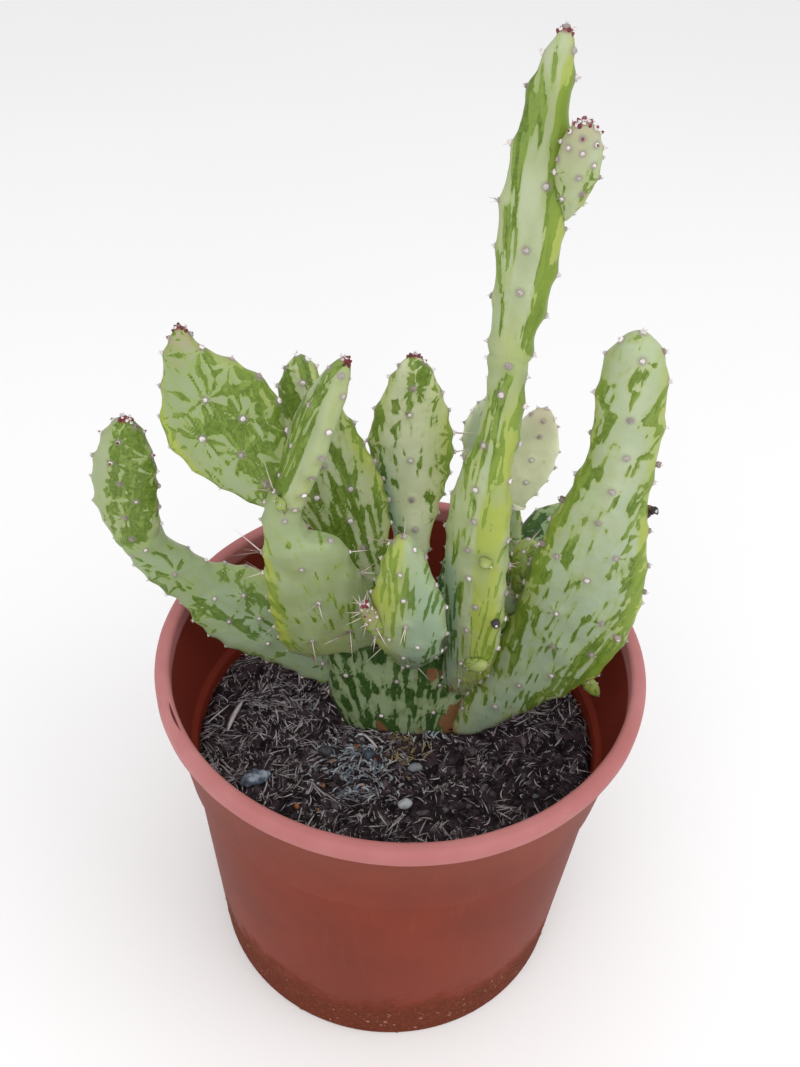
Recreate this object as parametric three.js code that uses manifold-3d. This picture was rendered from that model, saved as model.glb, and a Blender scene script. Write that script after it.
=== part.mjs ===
// Potted paddle cactus: a branching flat-stemmed cactus in a round plastic nursery pot.
// Millimetres, +Z up. The origin is the centre of the pot's underside.
import * as THREE from 'three';
import { mergeVertices } from 'three/addons/utils/BufferGeometryUtils.js';
import Module from 'manifold-3d';

const wasm = await Module();
wasm.setup();

// Driving dimensions
const GAP = 0.3;                 // clearance between pieces that touch
const RIM_RADIUS = 115;          // outside of the rolled rim
const POT_HEIGHT = 192;
const BASE_RADIUS = 93;
const LEDGE_HEIGHT = 133;        // step where the collar starts
const LEDGE_RADIUS = 102;        // outside of the wall just under the step
const WALL = 2.4;
const DRAIN_COUNT = 6;
const DRAIN_RADIUS = 6;
const DRAIN_CIRCLE = 60;
const SOIL_HEIGHT = 132;
const ROOT_COUNT = 6;
const POT_SIDES = 48;
const PAD_SIDES = 12;            // points round a pad's cross-section
const SECTION_POWER = 0.74;      // 1 gives an ellipse, less gives flatter faces and fuller edges
const BUD_SIDES = 8;
const ROOT_SIDES = 7;

const finish = {
  terracotta: { color: 0x8a4436, roughness: 0.55 },
  soil: { color: 0x2a2020, roughness: 0.95 },
  root: { color: 0x8c6a48, roughness: 0.9 },
  pad: { color: 0x8aa56a, roughness: 0.5 },
  oldPad: { color: 0x5c8a4a, roughness: 0.5 },
  bud: { color: 0x9aa84a, roughness: 0.5 },
  paleStone: { color: 0xd8dce0, roughness: 0.6 },
  darkStone: { color: 0x4a4d55, roughness: 0.7 },
};

const object = new THREE.Group();

function addPart(name, geometry, look) {
  const material = new THREE.MeshStandardMaterial({ ...finish[look], metalness: 0 });
  const mesh = new THREE.Mesh(geometry, material);
  mesh.name = name;
  object.add(mesh);
}

// Closed mesh to solid, and back
function solidOf(geometry) {
  const bare = geometry.clone();
  bare.deleteAttribute('normal');
  bare.deleteAttribute('uv');
  const merged = mergeVertices(bare, 1e-4);
  return new wasm.Manifold(new wasm.Mesh({
    numProp: 3,
    vertProperties: new Float32Array(merged.attributes.position.array),
    triVerts: new Uint32Array(merged.index.array),
  }));
}

function geometryOf(solid) {
  const mesh = solid.getMesh();
  const geometry = new THREE.BufferGeometry();
  geometry.setAttribute('position', new THREE.BufferAttribute(mesh.vertProperties, 3));
  geometry.setIndex(new THREE.BufferAttribute(mesh.triVerts, 1));
  return geometry;
}

// The main body of a cut solid, without slivers left past the cut
function largestBody(solid) {
  const bodies = solid.decompose();
  return bodies.reduce((best, body) => (body.volume() > best.volume() ? body : best));
}

// A flat stem segment. Each station of its line is [x, y, z, half width], from base to tip.
// The section is a flattened ellipse, as wide as the station says and at most as thick as the
// segment, and the width follows a curve of squared half widths, which rounds both ends.
// A neck is a second, narrower line of stations that belongs to the same pad.
function stemSegment(segment, grow = 0) {
  const { line, neck, facing, thickness, sides = PAD_SIDES, rings = 2 } = segment;
  if (neck) {
    return stemSegment({ ...segment, neck: undefined }, grow)
      .add(stemSegment({ ...segment, line: neck, neck: undefined }, grow));
  }
  const path = new THREE.CatmullRomCurve3(line.map(([x, y, z]) => new THREE.Vector3(x, y, z)));
  path.curveType = 'catmullrom';
  const widths = new THREE.CatmullRomCurve3(line.map(([, , , w]) => new THREE.Vector3(w * w, 0, 0)));
  widths.curveType = 'catmullrom';
  const ringCount = (line.length - 1) * rings;
  const front = new THREE.Vector3(...facing).normalize();
  const flatten = (x) => Math.sign(x) * Math.abs(x) ** SECTION_POWER;
  const points = [];
  const startTangent = path.getTangent(0);
  const endTangent = path.getTangent(1);
  points.push(path.getPoint(0).addScaledVector(startTangent, -grow));
  for (let ring = 0; ring <= ringCount; ring += 1) {
    const t = ring === ringCount ? 1 - 0.12 / ringCount : ring / ringCount;
    const centre = path.getPoint(t);
    if (ring === 0) centre.addScaledVector(startTangent, 0.01 - grow);
    if (ring === ringCount) centre.addScaledVector(endTangent, grow * 0.5);
    const tangent = path.getTangent(t);
    const halfWidth = Math.sqrt(Math.max(widths.getPoint(t).x, 0.04));
    const halfThickness = ((0.85 * halfWidth) ** -4 + (thickness / 2) ** -4) ** -0.25;
    const normal = front.clone().addScaledVector(tangent, -front.dot(tangent)).normalize();
    const across = new THREE.Vector3().crossVectors(tangent, normal);
    for (let side = 0; side < sides; side += 1) {
      const angle = (side / sides) * Math.PI * 2;
      points.push(centre.clone()
        .addScaledVector(across, flatten(Math.cos(angle)) * (halfWidth + grow))
        .addScaledVector(normal, flatten(Math.sin(angle)) * (halfThickness + grow)));
    }
  }
  points.push(path.getPoint(1).addScaledVector(endTangent, grow));
  return closedLoft(points, ringCount + 1, sides);
}

// Rings of points between a first and a last pole
function closedLoft(points, rings, sides) {
  const index = [];
  const at = (ring, side) => 1 + ring * sides + (side % sides);
  for (let side = 0; side < sides; side += 1) {
    index.push(0, at(0, side), at(0, side + 1));
    index.push(points.length - 1, at(rings - 1, side + 1), at(rings - 1, side));
    for (let ring = 0; ring < rings - 1; ring += 1) {
      index.push(at(ring, side), at(ring + 1, side), at(ring + 1, side + 1));
      index.push(at(ring, side), at(ring + 1, side + 1), at(ring, side + 1));
    }
  }
  const geometry = new THREE.BufferGeometry().setFromPoints(points);
  geometry.setIndex(index);
  return solidOf(geometry);
}

// Pads and buds. joins lists the pieces that a pad grows from or leans against.
const pads = {
  mother_pad: {
    facing: [0, -1, 0], thickness: 20, look: 'oldPad', joins: [],
    line: [[4, 7, 92, 12], [4, 7, 110, 23], [4, 7, 128, 29], [0, 7, 152, 36], [-0.5, 8, 171, 37],
      [-1, 9, 188, 34.5], [-2, 10, 204, 25], [-2, 11, 215, 0]],
  },

  // Low arm on the left, reaching over the rim, and the pad at its end
  left_arm_pad: {
    facing: [0, -0.85, 0.5], thickness: 12, look: 'pad', joins: ['mother_pad'],
    line: [[-28, 9, 158, 5], [-38, 8, 165, 8], [-52, 8, 183, 15], [-69, 8, 199, 21], [-85, 8, 208, 18],
      [-96, 7, 217, 11.5], [-105, 6, 226, 11], [-114, 5, 236, 10], [-118.5, 4, 245, 9],
      [-121, 3.5, 251, 0]],
  },
  left_arm_tip_pad: {
    facing: [0, -0.95, 0.3], thickness: 10, look: 'pad', joins: ['left_arm_pad'],
    line: [[-119, 4, 243, 5], [-120.5, 3.5, 251, 10.5], [-121.5, 2, 262, 13], [-121.5, 1, 272, 13.5],
      [-120.5, 0, 283, 13.5], [-118.5, -2, 294, 12], [-117, -3, 304, 9], [-115, -4, 315, 0]],
  },

  // Front left pad with its narrow neck, and the two pads on the neck
  front_left_pad: {
    facing: [0.1, -0.97, 0.1], thickness: 12, look: 'pad', joins: ['mother_pad'],
    line: [[-28.5, -5.5, 197, 20], [-29.6, -7.5, 202.5, 24], [-32, -9.5, 211, 24.8], [-35.3, -12, 224, 23.8],
      [-39.2, -15, 240, 21], [-42.2, -17.5, 256, 18.3], [-43.8, -19, 266, 16.6], [-44.5, -19.5, 272, 0]],
    neck: [[-48, -18, 256, 9], [-50, -20, 268, 9.6], [-51.7, -19.8, 278, 8.2], [-51.4, -18.5, 285, 7],
      [-50.6, -17, 290, 6.2], [-50, -16, 295, 0]],
  },
  blade_pad: {
    facing: [-0.93, -0.36, 0.05], thickness: 10, look: 'pad', joins: ['front_left_pad'],
    line: [[-51, -16, 284, 5], [-48, -16, 294, 9], [-44.5, -16, 306, 12.5], [-41, -15.5, 318, 14],
      [-37, -15, 329, 12], [-33, -14, 339, 8.5], [-29.5, -13, 347, 5], [-26.5, -12, 353, 0]],
  },
  upper_left_pad: {
    facing: [0.05, -0.97, 0.2], thickness: 11, look: 'pad', joins: ['front_left_pad', 'blade_pad'],
    line: [[-51, -14, 284, 4], [-55.5, -10.5, 285.5, 7], [-61.5, -7.5, 292, 13], [-66, -6, 299, 18],
      [-71.5, -4.8, 307, 22.6], [-76.2, -3.4, 315.5, 24.4], [-80.8, -2.2, 323, 23.2], [-84.6, -1, 330, 18.2],
      [-88, 0, 336.5, 12.6], [-90.8, 1, 342.5, 8], [-91.8, 2.2, 347.5, 4.6], [-91.5, 3.2, 353.5, 0]],
  },

  // Two upright pads on the back of the old pad's top, and the leaning one in front
  back_left_pad: {
    facing: [0.1, -0.97, 0.15], thickness: 11, look: 'pad', joins: ['mother_pad', 'front_left_pad'],
    line: [[-12, 12, 204, 4], [-15, 17, 216, 5.5], [-18, 22, 229, 10], [-24, 26, 240, 16.5],
      [-30.5, 28, 253, 20.6], [-36, 30, 265, 20.6], [-41, 32, 279, 18.6], [-45.5, 33, 292, 16],
      [-49, 34, 305, 11.5], [-50, 35, 317, 7], [-50, 35, 325, 0]],
  },
  centre_back_pad: {
    facing: [0, -0.97, 0.15], thickness: 11, look: 'pad', joins: ['mother_pad'],
    line: [[2, 14, 204, 4], [1.5, 22, 214, 4.5], [2, 29, 228, 7.5], [1, 36, 242, 11],
      [0, 40, 256, 15.5], [-1, 42, 270, 19], [-1.5, 43, 283, 19], [-2, 44, 296, 15.5],
      [-2, 45, 309, 10.5], [-2, 45, 322, 0]],
  },
  centre_front_pad: {
    facing: [-0.15, -0.9, 0.35], thickness: 13, look: 'pad', joins: ['mother_pad', 'front_left_pad'],
    line: [[2.5, 4, 178, 4], [2.5, -4, 190, 7.5], [3, -14, 204, 11.5], [2.5, -22, 217, 15],
      [2, -25, 230, 16.5], [1.5, -26, 243, 16], [0, -26, 255, 12.5], [-1, -26, 267, 9],
      [-2, -26, 281, 0]],
  },
  centre_bud: {
    facing: [0, -0.9, 0.4], thickness: 9, look: 'bud', sides: BUD_SIDES,
    joins: ['centre_front_pad', 'front_left_pad'],
    line: [[-9, -25, 224, 2.5], [-11, -27, 229, 4.2], [-13.5, -29, 236, 4.2], [-15.5, -31, 243, 3],
      [-17, -32, 248, 0]],
  },

  // Hidden pad behind the tall stem, with a pale young pad on it
  hidden_back_pad: {
    facing: [-0.1, -0.7, 0.7], thickness: 10, look: 'oldPad', joins: ['mother_pad'],
    line: [[16, 12, 200, 4], [22, 23, 216, 6.5], [28, 34, 227, 8], [34, 45, 236, 6.5], [37, 51, 241, 0]],
  },
  pale_back_pad: {
    facing: [0.1, -0.97, 0.2], thickness: 9, look: 'pad', joins: ['hidden_back_pad'],
    line: [[36, 49, 236, 3], [35, 51, 246, 5.5], [33, 53, 256, 8], [32, 55, 270, 9.5], [31, 56, 282, 8.5],
      [32, 56, 295, 0]],
  },

  // Tall stem: a long lower pad with a woody foot, a long upper pad and a young side pad
  tall_lower_pad: {
    facing: [-0.4, -0.9, 0.1], thickness: 14, look: 'pad', joins: ['mother_pad'],
    line: [[27, 4, 164, 7], [29, -4, 182, 9.5], [32, -10, 198, 11.5], [32, -11, 212, 12.5],
      [31, -11, 229, 13.5], [30, -10, 246, 13.8], [29, -9, 262, 13.8], [29, -7, 279, 13.2],
      [29.5, -5, 294, 11.5], [32, -3, 307, 8.5], [34, -1, 323, 7.8], [34.3, 1, 337, 7],
      [34.3, 3, 348, 6.5], [34.5, 3, 353, 0]],
  },
  tall_upper_pad: {
    facing: [-0.3, -0.95, 0], thickness: 12, look: 'pad', joins: ['tall_lower_pad'],
    line: [[34.3, 3, 344, 4], [34.6, 3.5, 352, 7], [35, 4, 363, 8.8], [36.2, 5, 377, 10.5],
      [36.7, 6, 391, 11.6], [36.8, 7, 405, 11.6], [36.6, 8, 419, 10.3], [37, 9, 433, 8.5],
      [38, 10, 446, 6.8], [39.3, 10, 457, 4.8], [41, 10, 466, 0]],
  },
  tall_side_pad: {
    facing: [0.1, -0.98, 0.2], thickness: 9, look: 'pad', joins: ['tall_upper_pad'],
    line: [[45, 5, 404, 3], [47.5, 4, 410, 4], [48.7, 2, 417, 6.3], [49.3, 0, 425, 7.4],
      [49.3, -1, 432, 6.8], [48.8, -2, 437, 5.2], [48.3, -2, 441, 0]],
  },

  // Small pads low down between the tall stem and the big right pad
  low_leaf: {
    facing: [0, -0.9, 0.4], thickness: 8, look: 'pad', joins: ['mother_pad', 'tall_lower_pad'],
    line: [[30, 11, 178, 3], [38, 13, 189, 4], [46, 15.5, 202, 4.5], [51, 16, 212, 5], [54, 17, 222, 0]],
  },
  round_pad: {
    facing: [-0.2, -0.9, 0.4], thickness: 9, look: 'bud', joins: ['low_leaf', 'tall_lower_pad'],
    line: [[54, 16, 214, 3], [56, 13, 224, 6.8], [55.5, 11, 234, 7.7], [54, 10, 245, 6],
      [52.5, 10, 253, 0]],
  },
  back_stalk: {
    facing: [-0.2, -0.95, 0.2], thickness: 8, look: 'pad', joins: ['low_leaf', 'round_pad'],
    line: [[52.5, 17.5, 214, 3], [51, 24, 219, 4], [48.5, 30, 230, 4.6], [47.8, 34, 240, 4.4],
      [47.3, 36, 248, 3.6], [47.3, 36.5, 254, 0]],
  },
  cream_back_pad: {
    facing: [0, -0.97, 0.2], thickness: 9, look: 'pad', joins: ['back_stalk'],
    line: [[47.5, 36, 249, 2.8], [48.5, 37, 254, 5], [50, 39, 261, 8.5], [52.4, 41, 271, 11],
      [54, 42, 282, 11], [55, 42, 292, 8.3], [57.5, 42, 301, 0]],
  },
  low_back_pad: {
    facing: [0, -0.95, 0.3], thickness: 9, look: 'oldPad', joins: ['back_stalk'],
    line: [[49, 33, 226, 3], [56, 37, 228, 8], [64, 42, 230, 12.5], [72, 46, 233, 11.5],
      [79, 49, 236, 7], [83, 50, 238, 0]],
  },

  // Big right pad, rooted at the soil and hanging past the rim
  right_pad: {
    facing: [-0.2, -0.9, 0.35], thickness: 14, look: 'pad', joins: ['mother_pad', 'tall_lower_pad'],
    line: [[27, 5, 136, 5], [35, 2, 139, 8], [44, 0, 156, 12.5], [58, -2, 180, 18.5],
      [72, -4, 205, 25], [78, -6, 233, 26], [79, -6, 258, 24], [80, -6, 279, 19.3],
      [82, -6, 300, 14.3], [83, -6, 318, 13.3], [82, -6, 336, 13.5], [80.8, -6, 350, 12.5],
      [79.5, -6, 361, 8.5], [78.5, -6, 367, 0]],
  },

  // Small buds
  neck_bud: {
    facing: [0, -0.9, 0.4], thickness: 5, look: 'bud', sides: BUD_SIDES,
    joins: ['front_left_pad', 'blade_pad'],
    line: [[-50, -19, 290, 1.8], [-50.5, -22.5, 291.5, 2.6], [-51, -26, 293, 0]],
  },
  tall_bud: {
    facing: [0, -0.5, 0.9], thickness: 5, look: 'bud', sides: BUD_SIDES, joins: ['tall_lower_pad'],
    line: [[33.5, -14, 261, 1.8], [33, -18, 263, 2.5], [32.5, -21, 264, 0]],
  },
  foot_bud: {
    facing: [0, -0.9, 0.4], thickness: 6.5, look: 'bud', sides: BUD_SIDES, joins: ['tall_lower_pad'],
    line: [[29.5, -13, 199.5, 2.2], [32.5, -17.5, 202.5, 3.3], [36, -20, 204.5, 2.9], [38.5, -21, 206, 0]],
  },
  between_bud: {
    facing: [0, -0.95, 0.3], thickness: 6, look: 'bud', sides: BUD_SIDES,
    joins: ['low_leaf', 'tall_lower_pad', 'right_pad'],
    line: [[45, 14, 195, 2.4], [46.5, 9.5, 199, 3.6], [47.5, 6.5, 205, 3.2], [47.8, 5, 210.5, 0]],
  },
  right_low_bud: {
    facing: [0, -0.9, 0.4], thickness: 5.5, look: 'bud', sides: BUD_SIDES, joins: ['right_pad'],
    line: [[85.5, -6, 184, 2], [90, -7, 179, 2.8], [93.5, -8, 175, 0]],
  },
  right_edge_bud: {
    facing: [0, -0.9, 0.4], thickness: 5, look: 'bud', sides: BUD_SIDES, joins: ['right_pad'],
    line: [[92.5, -6, 283, 2], [96.5, -6.5, 285.5, 2.6], [99.5, -7, 287.5, 0]],
  },
};

for (const [name, pad] of Object.entries(pads)) {
  let solid = stemSegment(pad);
  for (const neighbour of pad.joins) {
    solid = solid.subtract(stemSegment(pads[neighbour], GAP));
  }
  addPart(name, geometryOf(largestBody(solid)), pad.look);
}

// Pot: thin moulded wall, wider collar above a step, rolled rim, flat floor with drain holes
function potSolid() {
  const wallRadius = (z) => BASE_RADIUS + (LEDGE_RADIUS - BASE_RADIUS) * (z / LEDGE_HEIGHT);
  const floor = WALL + 0.4;
  const profile = [
    [0, 0], [BASE_RADIUS - 2, 0], [BASE_RADIUS, 2], [LEDGE_RADIUS, LEDGE_HEIGHT],
    [LEDGE_RADIUS + 2.6, LEDGE_HEIGHT + 2.5], [RIM_RADIUS - 4, POT_HEIGHT - 11],
    [RIM_RADIUS, POT_HEIGHT - 9.5], [RIM_RADIUS, POT_HEIGHT - 2.5], [RIM_RADIUS - 1.6, POT_HEIGHT - 0.4],
    [RIM_RADIUS - 3.5, POT_HEIGHT], [RIM_RADIUS - 5.6, POT_HEIGHT - 0.4],
    [RIM_RADIUS - 6.8, POT_HEIGHT - 2.5], [RIM_RADIUS - 7.2, POT_HEIGHT - 11],
    [LEDGE_RADIUS + 0.4, LEDGE_HEIGHT + 4.5], [LEDGE_RADIUS - WALL, LEDGE_HEIGHT + 1.5],
    [wallRadius(floor) - WALL, floor], [0, floor],
  ].map(([x, y]) => new THREE.Vector2(x, y));
  const shell = new THREE.LatheGeometry(profile, POT_SIDES).rotateX(Math.PI / 2);
  let solid = solidOf(shell);
  for (let i = 0; i < DRAIN_COUNT; i += 1) {
    const angle = ((i + 0.5) / DRAIN_COUNT) * Math.PI * 2;
    const drain = new THREE.CylinderGeometry(DRAIN_RADIUS, DRAIN_RADIUS, 10, 16).rotateX(Math.PI / 2);
    drain.translate(Math.cos(angle) * DRAIN_CIRCLE, Math.sin(angle) * DRAIN_CIRCLE, floor / 2);
    solid = solid.subtract(solidOf(drain));
  }
  return solid;
}

// Gentle mounds and hollows of the soil's surface
function soilRelief(x, y) {
  const mound = 3 * Math.exp(-((x - 4) ** 2 + (y - 7) ** 2) / 45 ** 2);
  const waves = 1.3 * Math.sin(x * 0.083 + 1.3) * Math.cos(y * 0.097 + 0.4);
  return mound + waves + 0.8 * Math.sin(x * 0.21 + y * 0.16);
}

function soilSolid() {
  const top = (r) => [r, SOIL_HEIGHT];
  const inside = LEDGE_RADIUS - WALL - GAP;
  const bottom = BASE_RADIUS - WALL - GAP;
  const profile = [
    [0, WALL + 0.4 + GAP], [bottom, WALL + 0.4 + GAP], [inside - 0.4, SOIL_HEIGHT - 3],
    top(inside - 1.5), top(84), top(68), top(52), top(36), top(20), top(0),
  ].map(([x, y]) => new THREE.Vector2(x, y));
  const geometry = new THREE.LatheGeometry(profile, POT_SIDES).rotateX(Math.PI / 2);
  const position = geometry.attributes.position;
  for (let i = 0; i < position.count; i += 1) {
    if (position.getZ(i) < SOIL_HEIGHT - 0.1) continue;
    const [x, y] = [position.getX(i), position.getY(i)];
    const fade = Math.min(1, (inside - Math.hypot(x, y)) / 12);
    position.setZ(i, SOIL_HEIGHT - 1 + fade * soilRelief(x, y));
  }
  return solidOf(geometry);
}

// Buried crown under the old pad, with main roots spreading from it
function rootSolid(grow = 0) {
  const [crownX, crownY] = [4, 7];
  const tapered = (line, radius) => stemSegment({
    line, facing: [0.2, -1, 0.1], thickness: 2 * radius, sides: ROOT_SIDES, rings: 1,
  }, grow);
  const crown = [[100, 9], [90, 9], [80, 7], [72, 0]].map(([z, radius]) => [crownX, crownY, z, radius]);
  let solid = tapered(crown, 9);
  for (let i = 0; i < ROOT_COUNT; i += 1) {
    const angle = ((i + 0.3) / ROOT_COUNT) * Math.PI * 2;
    const reach = 46 + 12 * Math.sin(i * 2.4);
    const at = (along, z, radius) => {
      const bend = angle + along * 0.25;
      return [crownX + Math.cos(bend) * reach * along, crownY + Math.sin(bend) * reach * along, z, radius];
    };
    const line = [at(0.05, 84, 3.6), at(0.3, 74, 3.2), at(0.6, 54, 2.4), at(0.85, 34, 1.8), at(1, 20, 0)];
    solid = solid.add(tapered(line, 3.6));
  }
  return solid;
}

// Pebbles pressed into the soil: [x, y, z, size along x, y, z, turn]
const stones = {
  white_pebble: { place: [6, -47, 133.6, 4, 3, 2.4, 0.4], look: 'paleStone' },
  flat_blue_stone: { place: [-66.5, -37, 133, 8.5, 4.5, 3, 0.5], look: 'darkStone' },
  round_dark_stone: { place: [-34.5, -19, 134.2, 3.6, 3.4, 3, 0], look: 'darkStone' },
  small_dark_stone: { place: [-13, -20, 134.6, 3.4, 2.8, 2.4, 0.9], look: 'darkStone' },
  grey_chip: { place: [10, -26, 134.6, 4, 2.8, 1.8, 0.3], look: 'paleStone' },
};

function stoneSolid([x, y, z, sizeX, sizeY, sizeZ, turn], grow = 0) {
  const geometry = new THREE.IcosahedronGeometry(1, 1);
  geometry.scale(sizeX + grow, sizeY + grow, sizeZ + grow);
  geometry.rotateZ(turn);
  geometry.translate(x, y, z);
  return solidOf(geometry);
}

let soil = soilSolid();
soil = soil.subtract(stemSegment(pads.mother_pad, GAP).add(rootSolid(GAP)));
soil = soil.subtract(stemSegment(pads.right_pad, GAP));
for (const [name, { place, look }] of Object.entries(stones)) {
  soil = soil.subtract(stoneSolid(place, GAP));
  addPart(name, geometryOf(stoneSolid(place)), look);
}
addPart('soil', geometryOf(largestBody(soil)), 'soil');
addPart('roots', geometryOf(largestBody(rootSolid().subtract(stemSegment(pads.mother_pad, GAP)))), 'root');
addPart('pot', geometryOf(potSolid()), 'terracotta');

export default object;
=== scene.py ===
import math

import bmesh
import bpy
import numpy as np
from mathutils import Matrix, Vector
from mathutils.bvhtree import BVHTree
from mathutils.kdtree import KDTree


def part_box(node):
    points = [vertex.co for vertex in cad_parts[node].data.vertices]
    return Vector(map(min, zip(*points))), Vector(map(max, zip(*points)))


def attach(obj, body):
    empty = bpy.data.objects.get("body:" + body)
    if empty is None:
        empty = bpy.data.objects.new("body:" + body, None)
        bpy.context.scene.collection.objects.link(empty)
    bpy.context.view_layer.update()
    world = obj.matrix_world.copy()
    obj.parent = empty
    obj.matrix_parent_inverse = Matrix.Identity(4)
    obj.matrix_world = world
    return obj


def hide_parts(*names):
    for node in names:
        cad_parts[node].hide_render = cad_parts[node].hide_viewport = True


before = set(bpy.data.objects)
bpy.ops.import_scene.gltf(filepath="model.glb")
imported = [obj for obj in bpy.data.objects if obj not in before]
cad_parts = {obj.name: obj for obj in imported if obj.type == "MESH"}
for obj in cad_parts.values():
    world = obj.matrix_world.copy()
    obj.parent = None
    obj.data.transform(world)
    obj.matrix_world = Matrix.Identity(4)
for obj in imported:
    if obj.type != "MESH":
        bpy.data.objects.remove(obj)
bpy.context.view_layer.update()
mm = 0.001
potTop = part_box("pot")[1].z / mm
print("stage: frame loaded")


def hexColour(code):  # sRGB hex to the linear colour that sockets hold
    channels = [int(code[i:i + 2], 16) / 255 for i in (1, 3, 5)]
    linear = [c / 12.92 if c <= 0.04045 else ((c + 0.055) / 1.055) ** 2.4 for c in channels]
    return (*linear, 1.0)


def addNode(tree, kind, inputs=None, out=None, **settings):  # out picks the socket to return
    node = tree.nodes.new(kind)
    for key, value in settings.items():
        setattr(node, key, value)
    for key, value in (inputs or {}).items():
        if isinstance(value, bpy.types.NodeSocket):
            tree.links.new(value, node.inputs[key])
        else:
            node.inputs[key].default_value = value
    return node if out is None else node.outputs[out]


def hashCells(cells, seed):
    h = (cells[:, 0] * 73856093) ^ (cells[:, 1] * 19349663) ^ (cells[:, 2] * 83492791) ^ (seed * 40503 + 977)
    h = (h ^ (h >> 15)) * 668265263 & 0x7FFFFFFF
    h = (h ^ (h >> 13)) * 374761393 & 0x7FFFFFFF
    return h ^ (h >> 16)


def gradientNoise(points, seed=0):  # smooth noise, about -1 to 1, one value a point
    base = np.floor(points).astype(np.int64)
    part = points - base
    fade = part ** 3 * (part * (part * 6 - 15) + 10)
    total = np.zeros(len(points))
    for corner in range(8):
        step = np.array([corner & 1, corner >> 1 & 1, corner >> 2 & 1])
        h = hashCells(base + step, seed)
        slope = np.stack([(h & 1023), (h >> 10 & 1023), (h >> 20 & 1023)], 1) / 511.5 - 1
        weight = np.prod(np.where(step == 1, fade, 1 - fade), 1)
        total += weight * np.sum(slope * (part - step), 1)
    return total * 1.7


def fractalNoise(points, seed=0, octaves=3):
    return sum(gradientNoise(points * 2 ** k, seed + 31 * k) / 2 ** k for k in range(octaves))


def smoothStep(low, high, x):
    t = np.clip((x - low) / (high - low), 0, 1)
    return t * t * (3 - 2 * t)


def unitRows(values):
    rows = np.array(values, float)
    return rows / np.maximum(np.linalg.norm(rows, axis=1, keepdims=True), 1e-12)


def pointsOf(obj):
    co = np.empty(len(obj.data.vertices) * 3)
    obj.data.vertices.foreach_get("co", co)
    return co.reshape(-1, 3)


def normalsOf(obj):
    normals = np.empty(len(obj.data.vertices) * 3)
    obj.data.vertex_normals.foreach_get("vector", normals)
    return normals.reshape(-1, 3)


def movePoints(obj, points):
    obj.data.vertices.foreach_set("co", points.ravel())
    obj.data.update()


def storeAttribute(obj, name, values):
    vector = values.ndim == 2
    layer = obj.data.attributes.new(name, "FLOAT_VECTOR" if vector else "FLOAT", "POINT")
    layer.data.foreach_set("vector" if vector else "value", values.astype(np.float32).ravel())


def newObject(name, mesh):
    obj = bpy.data.objects.new(name, mesh)
    bpy.context.scene.collection.objects.link(obj)
    return obj


def meshObject(name, points, edges=(), faces=()):
    mesh = bpy.data.meshes.new(name)
    mesh.from_pydata([tuple(p) for p in points], list(edges), list(faces))
    mesh.update()
    return newObject(name, mesh)


def builtObject(name, build):  # build fills a bmesh, whose faces are then turned outwards
    bm = bmesh.new()
    build(bm)
    bmesh.ops.recalc_face_normals(bm, faces=bm.faces)
    mesh = bpy.data.meshes.new(name)
    bm.to_mesh(mesh)
    bm.free()
    return newObject(name, mesh)


def bakeModifiers(obj):  # the evaluated shape becomes a plain mesh
    evaluated = obj.evaluated_get(bpy.context.evaluated_depsgraph_get())
    mesh = bpy.data.meshes.new_from_object(evaluated)
    obj.modifiers.clear()
    old = obj.data
    obj.data = mesh
    bpy.data.meshes.remove(old)
    mesh.name = obj.name


def cadCopy(nodes, name):  # the CAD solids with their loose triangles merged, back in quads where they can be
    bm = bmesh.new()
    for node in nodes:
        bm.from_mesh(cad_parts[node].data)
    bmesh.ops.remove_doubles(bm, verts=bm.verts, dist=1e-6)
    bmesh.ops.join_triangles(
        bm, faces=bm.faces, angle_face_threshold=math.radians(35), angle_shape_threshold=math.radians(60))
    mesh = bpy.data.meshes.new(name)
    bm.to_mesh(mesh)
    bm.free()
    return newObject(name, mesh)


def evenCopy(nodes, name, voxelMm, smoothing=0, swellMm=0.0):  # one skin of even little quads
    piece = cadCopy(nodes, name)
    rounded = piece.modifiers.new("round", "SUBSURF")
    rounded.levels = rounded.render_levels = 1
    swell = piece.modifiers.new("swell", "DISPLACE")
    swell.strength, swell.mid_level = swellMm * mm, 0
    remesh = piece.modifiers.new("even", "REMESH")
    remesh.mode, remesh.voxel_size = "VOXEL", voxelMm * mm
    if smoothing:
        smooth = piece.modifiers.new("smooth", "SMOOTH")
        smooth.factor, smooth.iterations = 0.5, smoothing
    bakeModifiers(piece)
    return piece


def finishPiece(obj, material=None, stands=()):
    if material:
        obj.data.materials.clear()
        obj.data.materials.append(material)
    obj.data.polygons.foreach_set("use_smooth", [True] * len(obj.data.polygons))
    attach(obj, "root")
    if stands:
        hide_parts(*stands)


def surfaceOf(names):  # one lookup over the surfaces of some CAD solids
    points, faces = [], []
    for name in names:
        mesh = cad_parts[name].data
        start = len(points)
        points += [v.co.copy() for v in mesh.vertices]
        faces += [tuple(start + i for i in p.vertices) for p in mesh.polygons]
    return BVHTree.FromPolygons(points, faces)


def nearestOn(tree, points, reach):  # distance to the surface and the way to it
    gap, toward = np.full(len(points), reach), np.zeros((len(points), 3))
    for i, point in enumerate(points):
        place, _, _, distance = tree.find_nearest(Vector(point), reach)
        if place is not None:
            gap[i], toward[i] = distance, place - Vector(point)
    return gap, toward


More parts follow.
